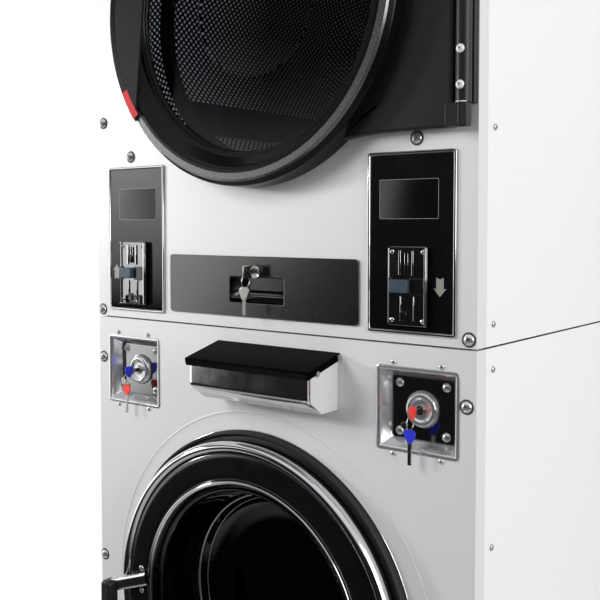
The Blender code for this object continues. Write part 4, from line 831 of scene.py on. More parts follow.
class LAUNDRY_OT_dryer_hinge(Operator):
    """Dryer hinge: leaf on the cabinet with its barrel, pin washers and dome screws"""

    bl_idname = "laundry.dryer_hinge"
    bl_label = "Dryer hinge"

    def execute(self, context):
        # The leaf is a bar, the barrel is a rod, and the washers are discs on the pin.
        low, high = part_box("dryer_hinge_leaf")
        leaf = bar((low.x + 0.006, -0.012, DRYER.z - LEAF_HALF), (high.x, -0.0004, DRYER.z + LEAF_HALF),
                   0.0015)
        piece("dryer_hinge", [leaf], "charcoal", "cabinet", ("dryer_hinge_leaf",))
        barrel = rod((PIN.x, FRONT - 0.0225, DRYER.z), 0.0120, -LEAF_HALF, LEAF_HALF, 40)
        piece("dryer_hinge_barrel", [barrel], "charcoal", "cabinet")
        heads = [screw(PIN.x, DRYER.z + s * z, -0.0338, 0.0068) for s in (-1, 1) for z in (0.131, 0.183)]
        washers = [turned([(0.0, start), (0.0093, start), (0.0093, end), (0.0, end)], PIN, 24, "Z")
                   for start, end in above_and_below(0.2070, 0.2081)]
        piece("dryer_hinge_screws", heads + washers, "panel", "cabinet")
        return {"FINISHED"}


class LAUNDRY_OT_drums(Operator):
    """Both drums: perforated sheet, lifting ribs, rolled mouth and shaft"""

    bl_idname = "laundry.drums"
    bl_label = "Drums"

    def execute(self, context):
        steps = context.scene.laundry_sizes.turn_steps
        self.drum("dryer_drum", DRYER, steps, mouth=0.285, front=0.05, back=0.70, lifter=0.07,
                  lip_finish="charcoal")
        self.drum("washer_drum", WASHER, steps, mouth=0.265, front=0.065, back=0.683, lifter=0.05,
                  lip_finish="polished")
        return {"FINISHED"}

    def drum(self, name, centre, steps, mouth, front, back, lifter, lip_finish):
        """Turned sheet for the mouth ring, wall and back, three ribs, a rolled lip and a rear shaft."""
        radius, wall = half(name).x, 0.003
        section = soften([(0.001, back), (radius, back), (radius, front), (mouth, front),
                          (mouth, front + wall), (radius - wall, front + wall),
                          (radius - wall, back - wall), (0.001, back - wall)], 0.004, 3)
        sheet = lathe(section, centre, steps)
        piece(f"{name}_sheet", [shell(sheet, caps=False)], name, name, (name,),
              uv=wall_uv(section, steps, radius))
        ribs = [drum_rib(centre, radius - wall - 0.0005, lifter, front + wall + 0.004, back - wall - 0.004,
                         np.pi / 2 + i * 2 * np.pi / 3) for i in range(3)]
        piece(f"{name}_ribs", ribs, "semi_gloss", name)
        shaft = rod(centre, 0.025, back - 0.001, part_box(name)[1].y - FRONT, 32, "Y", 0.002)
        lip = soften([(mouth + 0.012, front - 0.001), (mouth - 0.012, front + 0.001),
                      (mouth - 0.018, front + 0.010), (mouth - 0.013, front + 0.018),
                      (mouth + 0.012, front + 0.006)], 0.004, closed=True)
        piece(f"{name}_lip", [shaft, hoop(lip, centre, steps)], lip_finish, name)


class LAUNDRY_OT_washer_port(Operator):
    """Washer port: pressed cone, bright rim and rubber gasket"""

    bl_idname = "laundry.washer_port"
    bl_label = "Washer port"

    def execute(self, context):
        # Sections turned about the door's middle. Inwards from its crease, the cone rises with the square
        # of the distance.
        steps = context.scene.laundry_sizes.turn_steps
        t = np.linspace(0, 1, 8)
        flare = np.stack([0.3625 - 0.0285 * t, -0.0012 - 0.0012 * t ** 2], -1)
        crease = [(0.367, -0.0004), (0.3668, -0.0014), (0.3657, -0.0020), (0.3643, -0.0015)]
        cone = np.concatenate([crease, flare, [(0.3332, -0.0022), (0.3332, -0.0004)]])
        piece("washer_port_cone", [hoop(cone, WASHER, steps)], "panel", "cabinet",
              ("washer_port_ring",))
        edge = soften([(0.3338, -0.0022), (0.3335, -0.0044), (0.3323, -0.0050), (0.3312, -0.0042),
                       (0.3312, -0.0004), (0.3326, -0.0004)], 0.0008, closed=True)
        piece("washer_port_edge", [hoop(edge, WASHER, steps)], "polished", "cabinet")
        rim = soften([(0.3310, -0.0004), (0.3310, -0.0165), (0.3295, -0.0185), (0.3275, -0.0185),
                      (0.3255, -0.0165), (0.3255, -0.0004)], 0.0015, closed=True)
        piece("washer_port_lip", [hoop(rim, WASHER, steps)], "rubber", "cabinet")
        gasket = soften([(0.2977, 0.045), (0.2977, -0.0003), (0.3247, -0.0003), (0.3247, -0.0115),
                         (0.321, -0.0135), (0.316, -0.0140), (0.291, -0.0085), (0.290, 0.012),
                         (0.2935, 0.018), (0.290, 0.024), (0.290, 0.045)], 0.003, closed=True)
        piece("washer_gasket", [hoop(gasket, WASHER, steps)], "rubber", "cabinet",
              ("washer_door_gasket",))
        return {"FINISHED"}


class LAUNDRY_OT_washer_door(Operator):
    """Washer door: bright bead, black band, glass rim, glass bowl and hinge knuckles"""

    bl_idname = "laundry.washer_door"
    bl_label = "Washer door"

    def execute(self, context):
        steps = context.scene.laundry_sizes.turn_steps
        self.bead(steps)
        # Sections turned about the door's middle. Two thin satin rings in the bowl are painted highlights
        # for the light caught on the bowl's glass corner.
        band = soften([(0.2982, -0.0305), (0.2982, -0.0398), (0.2900, -0.0412), (0.2560, -0.0408),
                       (0.2485, -0.0390), (0.2485, -0.0305)], 0.004, closed=True)
        piece("washer_door_band", [hoop(band, WASHER, steps)], "black", "washer_door")
        bowl = soften([(0.0, 0.0995), (0.150, 0.098), (0.1935, 0.085), (0.2145, 0.05), (0.2315, -0.026),
                       (0.2443, -0.026), (0.2443, -0.0322), (0.2255, -0.0322), (0.2085, 0.05),
                       (0.1875, 0.079), (0.146, 0.092), (0.0, 0.0935)], 0.012, 6)
        piece("washer_bowl", [turned(bowl, WASHER, steps)], "bowl", "washer_door",
              ("washer_door_glass",))
        highlight_rings = [hoop(circle(radius, depth, thick, 12), WASHER, steps)
                 for radius, depth, thick in ((0.2030, 0.0575, 0.0020), (0.1935, 0.0712, 0.0009))]
        piece("washer_bowl_highlight_rings", highlight_rings, "satin", "washer_door")
        return {"FINISHED"}

    def bead(self, steps):
        """The bead is half an ellipse on a flat flange, turned; with it the glass rim and the hinge."""
        a = np.linspace(0, np.pi, 17)
        crest = np.stack([0.30825 + 0.00975 * np.cos(a), -0.034 - 0.0125 * np.sin(a)], -1)
        flange = [(0.2985, -0.030), (0.246, -0.030), (0.246, -0.0145)]
        bead = np.concatenate([[(0.318, -0.0145)], crest, flange])
        rim = soften([(0.2482, -0.0385), (0.2470, -0.0425), (0.2445, -0.0432), (0.2405, -0.0400),
                      (0.2395, -0.0325), (0.2446, -0.0325), (0.2446, -0.0302), (0.2482, -0.0302)], 0.0015,
                     closed=True)
        hinge = (0.345, FRONT - 0.035, WASHER.z)
        stretches = above_and_below(0.0303, 0.06)
        bars = [bar((0.30, -0.0435, WASHER.z + low), (hinge[0], -0.0265, WASHER.z + high), 0.002)
                for low, high in stretches]
        barrels = [rod(hinge, 0.0085, low, high) for low, high in stretches]
        piece("washer_door_bead", [hoop(section, WASHER, steps) for section in (bead, rim)] + bars + barrels,
              "polished", "washer_door", ("washer_door_ring",))


class LAUNDRY_OT_washer_latch(Operator):
    """Washer latch: polished lever arm with bolts and a dark grip"""

    bl_idname = "laundry.washer_latch"
    bl_label = "Washer latch"

    def execute(self, context):
        pivot_x, pivot_z = -0.268, WASHER.z + 0.012
        lean, band = np.radians(20.0), -0.0408
        heads = [screw(pivot_x + 0.004, pivot_z + s * 0.022, band, 0.0055) for s in (-1, 1)]
        piece("washer_latch_nuts", heads, "nickel", "washer_door")
        run = np.linspace(-0.034, 0.071, 12)
        path = np.stack([pivot_x - run * np.cos(lean), np.full(12, FRONT - 0.0535),
                         pivot_z - run * np.sin(lean)], -1)
        # The arm is a rounded box carried along the path: in its section, cos and sin are each taken to the
        # power 0.6 with their signs kept. The grip is a plate with round edges.
        a = np.linspace(0, 2 * np.pi, 20, endpoint=False)
        swing = np.stack([np.cos(a), np.sin(a)], -1)
        section = np.sign(swing) * np.abs(swing) ** 0.6 * (0.0045, 0.0125)
        hub = rod((pivot_x, FRONT, pivot_z), 0.008, band, -0.049, along="Y")
        piece("washer_latch_arm", [shell(sweep(path, section)), hub], "polished", "washer_door_lever",
              ("washer_door_lever",))
        end_x, end_z = pivot_x - 0.075 * np.cos(lean), pivot_z - 0.075 * np.sin(lean)
        grip = plate(rounded_rect(end_x, end_z - 0.033, 0.026, 0.091, 0.009), -0.049, -0.071, 0.005)
        piece("washer_latch_grip", [grip], "charcoal", "washer_door_lever")
        return {"FINISHED"}


class LAUNDRY_OT_soap_box(Operator):
    """Soap box: polished tray with a rolled lower edge, side flanges and a black lid"""

    bl_idname = "laundry.soap_box"
    bl_label = "Soap box"

    def execute(self, context):
        self.tray()
        self.lid()
        return {"FINISHED"}

    def tray(self):
        """The tray is a stack of U outlines in plan with round front corners: the wall's outer face from
        the floor up to the rim under the lid, then its inner face down again."""
        low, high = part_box("soap_box")
        x0, x1 = low.x, high.x
        wall, out, floor, hinge = 0.002, 0.085, low.z, high.z
        slope = np.tan(LID_FALL)
        under_lid = hinge - 0.0045
        front_top = under_lid - out * slope
        nose = soften([(0.046, floor), (out, floor + 0.026), (out, front_top)], 0.005, 5)

        def level(depth, z, inset, tilted):
            """A U in plan; a tilted one follows the lid's slope."""
            plan = soften([(x0 + inset, -0.0005), (x0 + inset, inset - depth), (x1 - inset, inset - depth),
                           (x1 - inset, -0.0005)], 0.009, 5)
            rise = under_lid + plan[:, 1] * slope if tilted else np.full(len(plan), z)
            return np.stack([plan[:, 0], FRONT + plan[:, 1], rise], -1)

        outside = [level(d, z, 0.0, False) for d, z in nose[:-1]] + [level(out, front_top, 0.0, True)]
        inside = [level(out, front_top, wall, True)]
        inside += [level(d, z + wall, wall, False) for d, z in nose[:-1][::-1]]
        piece("soap_tray", [shell(np.stack(outside + inside))], "polished", "cabinet",
              ("soap_box",))
        skin, wide = 0.0006, 0.012
        cheek = np.array([(-0.0006, floor + 0.001), (-0.045, floor + 0.001), (-0.0755, floor + 0.0235),
                          (-0.0755, hinge - 0.006 - 0.0755 * slope), (-0.0006, hinge - 0.006)])
        cheeks = [shell(np.stack([side_on(x, cheek), side_on(x + s * skin, cheek)]))
                  for s, x in ((-1, x0), (1, x1))]
        flanges = [bar((x, -0.0014, floor + 0.006), (x + wide, -0.0004, hinge - 0.002), 0.0006)
                   for x in (x0 - wide, x1)]
        piece("soap_cheeks", cheeks + flanges, "panel", "cabinet")
        head = soften([(0.0, 0.0), (0.006, 0.0), (0.006, 0.003), (0.0, 0.0042)], 0.001)
        pivot = turned(head, (x1 + skin, FRONT - 0.060, hinge - 0.0275), 20, "X")
        piece("soap_pivot_screw", [pivot], "nickel", "cabinet")

    def lid(self):
        """The lid is an angle seen from the side, drawn along its fall and across it, and carried over the
        width; two cheeks close its ends, and a thin lip covers its front."""
        low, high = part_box("soap_lid")
        x0, x1 = low.x, high.x
        root = np.array((-0.0006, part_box("soap_box")[1].z))
        fall = np.array((-np.cos(LID_FALL), -np.sin(LID_FALL)))
        above = np.array((fall[1], -fall[0]))
        span = (root[0] - (low.y - FRONT)) / np.cos(LID_FALL) - 0.0035

        def drawn(points):
            """Points of (distance along the fall, height above it) in the side view."""
            return root + np.asarray(points) @ np.stack([fall, above])

        angle = drawn([(0.0, 0.0006), (span, 0.0006), (span, -0.0125), (span - 0.0022, -0.0125),
                       (span - 0.0022, -0.0018), (0.0, -0.0018)])
        angle = soften(angle, [0.0005, 0.003, 0.001, 0.0005, 0.001, 0.0005], 4, closed=True)
        top = shell(np.stack([side_on(x, angle) for x in (x0, x0 + 0.0008, x1 - 0.0008, x1)]))
        cheek = drawn([(0.006, -0.0012), (span - 0.001, -0.0012), (span - 0.001, -0.012), (0.006, -0.012)])
        cheeks = [shell(np.stack([side_on(x, cheek), side_on(x + 0.0018, cheek)]))
                  for x in (x0 + 0.0001, x1 - 0.0019)]
        piece("soap_cover", [top] + cheeks, "lid", "soap_lid", ("soap_lid",))
        lip = drawn([(span + 0.0001, -0.0022), (span + 0.0006, -0.0022), (span + 0.0006, -0.0122),
                     (span + 0.0001, -0.0122)])
        edge = shell(np.stack([side_on(x, lip) for x in (x0 + 0.001, x1 - 0.001)]))
        piece("soap_cover_lip", [edge], "textured", "soap_lid")


class LAUNDRY_OT_lint_drawer(Operator):
    """Lint drawer: textured front with a pull recess, and the tray behind it"""

    bl_idname = "laundry.lint_drawer"
    bl_label = "Lint drawer"

    def execute(self, context):
        low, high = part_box("lint_drawer")
        z, wide, tall = (low.z + high.z) / 2, high.x - low.x, high.z - low.z
        self.front(z, wide, tall)
        self.tray(z, wide - 0.046)
        return {"FINISHED"}

    def front(self, z, wide, tall):
        """The front's edge and the pull's pocket are carried round two rounded rectangles. The grip in the
        pocket is part of a ring seen from the side, carried across."""
        pull_z = z - 0.0064
        hole = rounded_rect(0.0, pull_z, 0.124, 0.046, 0.003)
        rear = carry(hole, [(-0.0015, 0.0235), (-0.0015, -0.0004)])
        edge = carry(rounded_rect(0.0, z, wide, tall, 0.006), [(0.0012, -0.0004), (0.0, -0.0010),
                                                               (0.0, -0.0034), (0.0009, -0.0043),
                                                               (0.0018, -0.0043)])
        pocket = carry(hole, [(-0.0022, -0.0043), (-0.0012, -0.0043), (0.0, -0.0034), (0.0004, 0.021),
                              (0.0012, 0.022)])
        face = shell(np.concatenate([rear, edge, pocket]))
        a = np.linspace(np.radians(200), np.radians(385), 14)
        bend = 0.013 * np.stack([np.cos(a), np.sin(a)], -1)
        grip = np.concatenate([bend, (bend * 0.86)[::-1]]) + (0.008, pull_z - 0.007)
        hook = shell(np.stack([side_on(x, grip) for x in (-0.0615, 0.0615)]))
        piece("lint_front", [face, hook], "textured", "lint_drawer", ("lint_drawer",))

    def tray(self, z, wide):
        """The tray is a trough, a U with thick walls, carried in depth and closed by a back."""
        tall, deep, wall, floor = 0.088, 0.34, 0.002, 0.004
        x, foot, head = wide / 2, z - tall / 2, z + tall / 2
        trough = [(-x, head), (-x, foot), (x, foot), (x, head), (x - wall, head), (x - wall, foot + floor),
                  (wall - x, foot + floor), (wall - x, head)]
        walls = shell(carry(trough, [(0.0, depth) for depth in (0.0, wall, deep - wall, deep)]))
        back = bar((wall - x, deep - wall, foot + wall), (x - wall, deep - 0.0002, head), 0.0005)
        piece("lint_tray", [walls, back], "zinc", "lint_drawer")


class LAUNDRY_OT_locks(Operator):
    """Locks with their keys: the lint drawer's and the two coin vaults'"""

    bl_idname = "laundry.locks"
    bl_label = "Locks and keys"

    def execute(self, context):
        sizes = context.scene.laundry_sizes
        self.lint_lock(sizes)
        self.coin_lock(sizes, "left", "blue", "red")
        self.coin_lock(sizes, "right", "red", "blue")
        return {"FINISHED"}

    def lint_lock(self, sizes):
        """A barrel with a key in it, edge-on, and a second key on a ring below."""
        z, face = middle("lint_lock").z, -0.0046
        barrel = lock_barrel(0.0, z, face, out=face - 0.004, radius=0.0092, flange=0.0125)
        bow = bar((-0.0013, -0.040, z - 0.011), (0.0013, -0.018, z + 0.011), 0.0008)
        stem = bar((-0.0011, -0.019, z - 0.004), (0.0011, face - 0.003, z + 0.004), 0.0004)
        loop = key_ring(0.0, -0.033, z - 0.0165, sizes.ring_r)
        head, blade = hanging_key(-0.001, -0.035, z - 0.025, 0.021, 0.028)
        piece("lint_lock_and_keys", [barrel, bow, stem, loop, head, blade], "nickel", "lint_lock",
              ("lint_lock",))

    def coin_lock(self, sizes, side, in_lock, hanging):
        """A dished escutcheon with a plug, a key in it edge-on, and a ring with a second key and a tag."""
        body = f"coin_lock_{side}"
        x, _, z = middle(body)
        axis = (x, FRONT, z)
        dome = soften([(0.0, 0.0195), (0.030, 0.0195), (0.030, 0.0175), (0.0265, 0.0108),
                       (0.0205, 0.0098), (0.0165, 0.0125), (0.0155, 0.0128), (0.0, 0.0128)], 0.003)
        piece(f"coin_lock_dome_{side}", [turned(dome, axis, 48)], "satin", body, (body,))
        plug = soften([(0.0, 0.0125), (0.0085, 0.0125), (0.0085, 0.0090), (0.0, 0.0086)], 0.0008)
        stem = bar((x - 0.0011, -0.006, z - 0.004), (x + 0.0011, 0.0088, z + 0.004), 0.0004)
        loop = key_ring(x - 0.002, -0.0165, z - 0.0165, sizes.ring_r)
        head, blade = hanging_key(x - 0.002, -0.0175, z - 0.0255, sizes.key_head, sizes.key_blade)
        tag = plate(circle(x - 0.0125, z - 0.0215, 0.0062, 24), -0.0155, -0.0165, 0.0003)
        piece(f"coin_lock_metal_{side}", [turned(plug, axis, 32), stem, loop, blade, tag], "nickel", body)
        bow, _ = hanging_key(x, -0.013, z + sizes.key_head * 0.55, sizes.key_head, sizes.key_blade)
        piece(f"coin_key_in_lock_{side}", [edge_on(bow, x, -0.013)], in_lock, body)
        piece(f"coin_key_hanging_{side}", [head], hanging, body)


class LAUNDRY_OT_coin_vaults(Operator):
    """Coin vaults: pressed dishes with rolled lips, and bolted coin box plates"""

    bl_idname = "laundry.coin_vaults"
    bl_label = "Coin vaults"

    def execute(self, context):
        bolt = context.scene.laundry_sizes.bolt_r
        for side in SIDES:
            self.dish(side)
            self.coin_box(side, bolt)
        return {"FINISHED"}

    def dish(self, side):
        """A pressed dish: its lip, slope and underside carried round a rounded rectangle, and a floor."""
        x, _, z = middle(f"vault_dish_{side}")
        outline = rounded_rect(x, z, 0.150, 0.1376, 0.007)
        face = soften([(0.0, -0.0004), (0.0003, -0.0013), (0.006, -0.0016), (0.0080, 0.0015),
                       (0.0180, 0.0215), (0.0205, 0.0238)], 0.003, 3)
        under = soften([(0.0205, 0.0258), (0.0165, 0.0232), (0.0066, 0.0035), (0.0058, -0.0004)], 0.003, 3)
        slope = border(outline, np.concatenate([face, under]))
        floor = bar((x - 0.0580, 0.0238, z - 0.0520), (x + 0.0580, 0.0255, z + 0.0520), 0.0003)
        piece(f"vault_pressing_{side}", [slope, floor], "satin", "cabinet",
              (f"vault_dish_{side}",))

    def coin_box(self, side, bolt):
        """A plate on the dish's floor with four round bolts, and the box behind it."""
        name = f"coin_box_{side}"
        x, _, z = middle(f"vault_dish_{side}")
        door = plate(rounded_rect(x, z, 0.112, 0.100, 0.004), 0.0236, 0.0198, 0.0008)
        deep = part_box(name)[1].y - FRONT
        box = bar((x - 0.0425, 0.026, z - 0.0375), (x + 0.0425, deep, z + 0.0375), 0.001)
        piece(f"coin_box_front_{side}", [door, box], "dark_chrome", name, (name,))
        heads = [screw(x + u * 0.0425, z + v * 0.039, 0.0197, bolt) for u in (-1, 1) for v in (-1, 1)]
        piece(f"coin_box_bolts_{side}", heads, "satin", name)


class LAUNDRY_OT_control_panels(Operator):
    """Control panels: bright bezels, dark glass with a display window, and printed arrows"""

    bl_idname = "laundry.control_panels"
    bl_label = "Control panels"

    def execute(self, context):
        for side, sign in SIDES.items():
            self.glass(side)
            self.window_and_print(side, sign)
        return {"FINISHED"}

    def glass(self, side):
        """A bezel section carried round the panel, with a pane in it."""
        bezel = f"control_bezel_{side}"
        x, _, z = middle(bezel)
        wide, _, tall = half(bezel) * 2
        trim = soften([(0.0, -0.0004), (0.0, -0.0032), (0.0010, -0.0040), (0.0038, -0.0040),
                       (0.0046, -0.0030), (0.0046, -0.0004)], 0.0008, 3)
        piece(f"control_frame_{side}", [border(rounded_rect(x, z, wide, tall, 0.005), trim)], "polished",
              "cabinet", (bezel,))
        inset = 0.0106
        pane = plate(rounded_rect(x, z, wide - inset, tall - inset, 0.0035), 0.0018, -0.0020, 0.0004)
        piece(f"control_pane_{side}", [pane], "acrylic", "cabinet", (f"control_glass_{side}",))

    def window_and_print(self, side, sign):
        """A window with a printed line round it, and a notched arrow: up on the left, down on the right."""
        z, tall = 1.228, 0.062
        window = rounded_rect(sign * WINDOW_X, z, WINDOW_W, tall, 0.002)
        piece(f"control_window_{side}", [plate(window, -0.0019, -0.0021, 0.0001)], "window", "cabinet")
        line = border(window, [(0.0, -0.0020), (0.0, -0.0022), (0.0006, -0.0022), (0.0006, -0.0020)])
        arrow = np.array([(-0.0065, -0.0035), (-0.0112, -0.0025), (0.0, -0.0155), (0.0112, -0.0025),
                          (0.0065, -0.0035), (0.0065, 0.0145), (0.0, 0.0118), (-0.0065, 0.0145)])
        if side == "left":
            arrow = arrow[::-1] * (1, -1)
        arrow += {"left": (-0.3735, 1.0925), "right": (0.368, 1.0925)}[side]
        piece(f"control_print_{side}", [line, plate(arrow, -0.0020, -0.0023, 0.0001)], "print", "cabinet")


class LAUNDRY_OT_coin_acceptors(Operator):
    """Coin acceptors: face plates with funnel ribs, corner screws, and return buttons"""

    bl_idname = "laundry.coin_acceptors"
    bl_label = "Coin acceptors"

    def execute(self, context):
        for side in SIDES:
            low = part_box(f"coin_acceptor_{side}")[0]
            place = (middle(f"control_bezel_{side}").x, low.y - FRONT, low.z + 0.062)
            self.face_plate(side, *place)
            self.button(side, *place)
            if side == "left":
                self.cup(*place)
        return {"FINISHED"}

    def face_plate(self, side, x, face, z):
        """A slab with a screw in each corner and upright ribs: each rib is a bar, listed by its middle,
        half its width, its foot and its head."""
        slab = plate(rounded_rect(x, z, 0.069, 0.124, 0.003), -0.0022, face, 0.0012)
        piece(f"acceptor_plate_{side}", [slab], "dark_chrome", "cabinet",
              (f"coin_acceptor_{side}",))
        uprights = [(-0.0129, 0.0020, 0.017, 0.0556), (0.0103, 0.0016, 0.017, 0.0556),
                    (-0.0040, 0.0006, 0.020, 0.0520), (0.0018, 0.0006, 0.020, 0.0520),
                    (-0.0110, 0.0010, -0.054, -0.015), (0.0127, 0.0008, -0.054, -0.015),
                    (-0.0330, 0.0008, -0.0600, 0.0600), (0.0325, 0.0015, -0.0600, 0.0600)]
        ribs = [bar((x + u - w, face - 0.0028, z + foot), (x + u + w, face + 0.0002, z + head), 0.0006)
                for u, w, foot, head in uprights]
        corners = [screw(x + u * 0.0275, z + v * 0.0535, face, 0.0038) for u in (-1, 1) for v in (-1, 1)]
        piece(f"acceptor_trim_{side}", ribs + corners, "polished", "cabinet")

    def button(self, side, x, face, z):
        """The return button, with black bars beside it and at the plate's foot."""
        name = f"coin_return_{side}"
        low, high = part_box(name)
        foot, head = low.z - 0.003, high.z + 0.003
        back, out = face + 0.0004, face - 0.0034
        band = [bar((x - 0.0320, out, foot), (low.x - 0.001, back, head), 0.001),
                bar((high.x + 0.001, out, foot), (x + 0.0305, back, head), 0.001),
                bar((x - 0.0120, face - 0.0030, z - 0.054), (x - 0.0004, back, z - 0.040), 0.001)]
        piece(f"acceptor_band_{side}", band, "black", "cabinet")
        mid, size = (low + high) / 2, high - low
        button = plate(rounded_rect(mid.x, mid.z, size.x, size.z, 0.002), face + 0.003, low.y - FRONT,
                       0.0015)
        piece(f"return_button_{side}", [button], "motor", name, (name,))

    def cup(self, x, face, z):
        """The coin cup at the left plate's foot: a rounded rectangle's rim, with a hollow inside it."""
        rim = [(0.0, face), (0.0, face - 0.005), (0.0015, face - 0.006), (0.003, face - 0.005),
               (0.003, face - 0.0006)]
        cup = carry(rounded_rect(x + 0.006, z - 0.052, 0.046, 0.018, 0.003), rim)
        piece("coin_cup_left", [shell(cup)], "black", "cabinet")


class LAUNDRY_OT_panel_screws(Operator):
    """Screws of the front panels and vaults"""

    bl_idname = "laundry.panel_screws"
    bl_label = "Panel screws"

    def execute(self, context):
        large = context.scene.laundry_sizes.screw_r
        small, sheet = large * 0.52, -0.0002
        spots = [(-0.413, 1.394), (-0.331, 1.322), (0.325, 1.322), (-0.419, 1.014), (0.417, 1.015),
                 (-0.418, 0.916), (0.414, 0.913), (-0.42, 0.501), (0.42, 0.501), (-0.413, 1.756),
                 (0.413, 0.16), (-0.413, 0.16)]
        heads = [screw(x, z, sheet, large) for x, z in spots]
        heads += [screw(sign * x, z, sheet, small) for sign in SIDES.values() for x in (0.284, 0.371)
                  for z in (0.970, 0.823)]
        piece("panel_screws", heads, "satin", "cabinet")
        # Dark washers under the large heads: real washers, dark to give each head a painted shade outline.
        washers = [plate(circle(x, z, large * 1.28), sheet, sheet - 0.0006, 0.0002) for x, z in spots]
        piece("panel_screw_shade_washers", washers, "cast", "cabinet")
        return {"FINISHED"}


class LAUNDRY_OT_cabinet(Operator):
    """Cabinet: top cover with rolled edges, rear louvres and covers, water and drain stubs, side screws"""

    bl_idname = "laundry.cabinet"
    bl_label = "Cabinet"

    def execute(self, context):
        self.top()
        self.rear_sheets()
        self.screws(context.scene.laundry_sizes.screw_r * 0.6)
        self.fittings()
        return {"FINISHED"}

    def top(self):
        """The top cover: a plate with rolled edges over the whole cabinet."""
        low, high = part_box("top_cover")
        span, mid = high - low, (low + high) / 2
        lid = plate(rounded_rect(mid.x, mid.y, span.x, span.y, 0.007), span.z, 0.0, 0.004)
        piece("cabinet_top", [face_to(lid, "top")], "paint", "cabinet", ("top_cover",))

    def rear_sheets(self):
        """Two columns of louvres, black strips under their hoods as painted shade for the openings, and
        the service covers, flat plates.
        """
        heights = np.concatenate([np.arange(1.63, 1.90, 0.034), np.arange(0.70, 0.87, 0.034)])
        slots = [(x, z) for x in (-0.2, 0.2) for z in heights]
        pressings = [louvre(x, z, width=0.15, height=0.013, out=0.007) for x, z in slots]
        pressings += [plate(rounded_rect(x, z, w, h, 0.012), 0.0, COVER_FACE, 0.0008)
                      for x, z, w, h in COVERS]
        piece("rear_pressings", [face_to(made, "rear") for made in pressings], "paint", "cabinet")
        # Black strips under the hoods: painted shade standing in for the dark openings.
        gaps = [bar((x - 0.066, -0.0008, z - 0.0115), (x + 0.066, 0.0, z - 0.0050), 0.0002)
                for x, z in slots]
        piece("rear_louvre_shade_strips", [face_to(gap, "rear") for gap in gaps], "black", "cabinet")

    def screws(self, radius):
        """Screws round the covers, and rows of them along the upright edges of the rear and the sides."""
        spots = [(x + u * (w - 0.03), z + v * (h - 0.03), COVER_FACE) for x, z, w, h in COVERS
                 for u in (-0.5, 0.0, 0.5) for v in (-0.5, 0.5)]
        edge_z = np.concatenate([np.linspace(0.13, 0.965, 4), np.linspace(1.035, 1.94, 4)])
        spots += [(x, z, 0.0) for x in (-0.415, 0.415) for z in edge_z]
        heads = [face_to(screw(x, z, depth, radius), "rear") for x, z, depth in spots]
        for side, sign in SIDES.items():
            heads += [face_to(screw(sign * y, z, 0.0, radius), side)
                      for y in (-0.405, 0.465) for z in edge_z]
        piece("cabinet_screws", heads, "zinc", "cabinet")

    def fittings(self):
        """Two water inlets, a drain stub and a wiring box with a gland, all but the box turned. An inlet's
        thread is a wave of ten grooves: its radius is 0.013 + 0.0006 cos(20 pi t), t from 0 to 1."""
        t = np.linspace(0, 1, 60)
        thread = np.stack([0.0130 + 0.0006 * np.cos(20 * np.pi * t), -0.006 - 0.020 * t], -1)
        inlet = np.concatenate([[(0.0, 0.0), (0.022, 0.0), (0.022, -0.006)], thread,
                                [(0.0095, -0.026), (0.0095, -0.008), (0.0, -0.008)]])
        stub = soften([(0.0, 0.0), (0.050, 0.0), (0.050, -0.005), (0.038, -0.005), (0.038, -0.045),
                       (0.034, -0.045), (0.034, -0.004), (0.0, -0.004)], 0.001)
        gland = soften([(0.0, 0.0), (0.013, 0.0), (0.013, -0.012), (0.009, -0.020), (0.0, -0.020)], 0.001)
        made = [turned(inlet, (x, FRONT, 0.92), 36) for x in (-0.05, 0.05)]
        made += [turned(stub, (0.30, FRONT, 0.16), 48), turned(gland, (0.31, FRONT - 0.014, 0.86), 24, "Z")]
        piece("rear_fittings", [face_to(fitting, "rear") for fitting in made], "charcoal", "cabinet")
        wiring = bar((0.25, -0.028, 0.86), (0.37, 0.0, 0.97), 0.003)
        piece("rear_wiring_box", [face_to(wiring, "rear")], "paint", "cabinet")


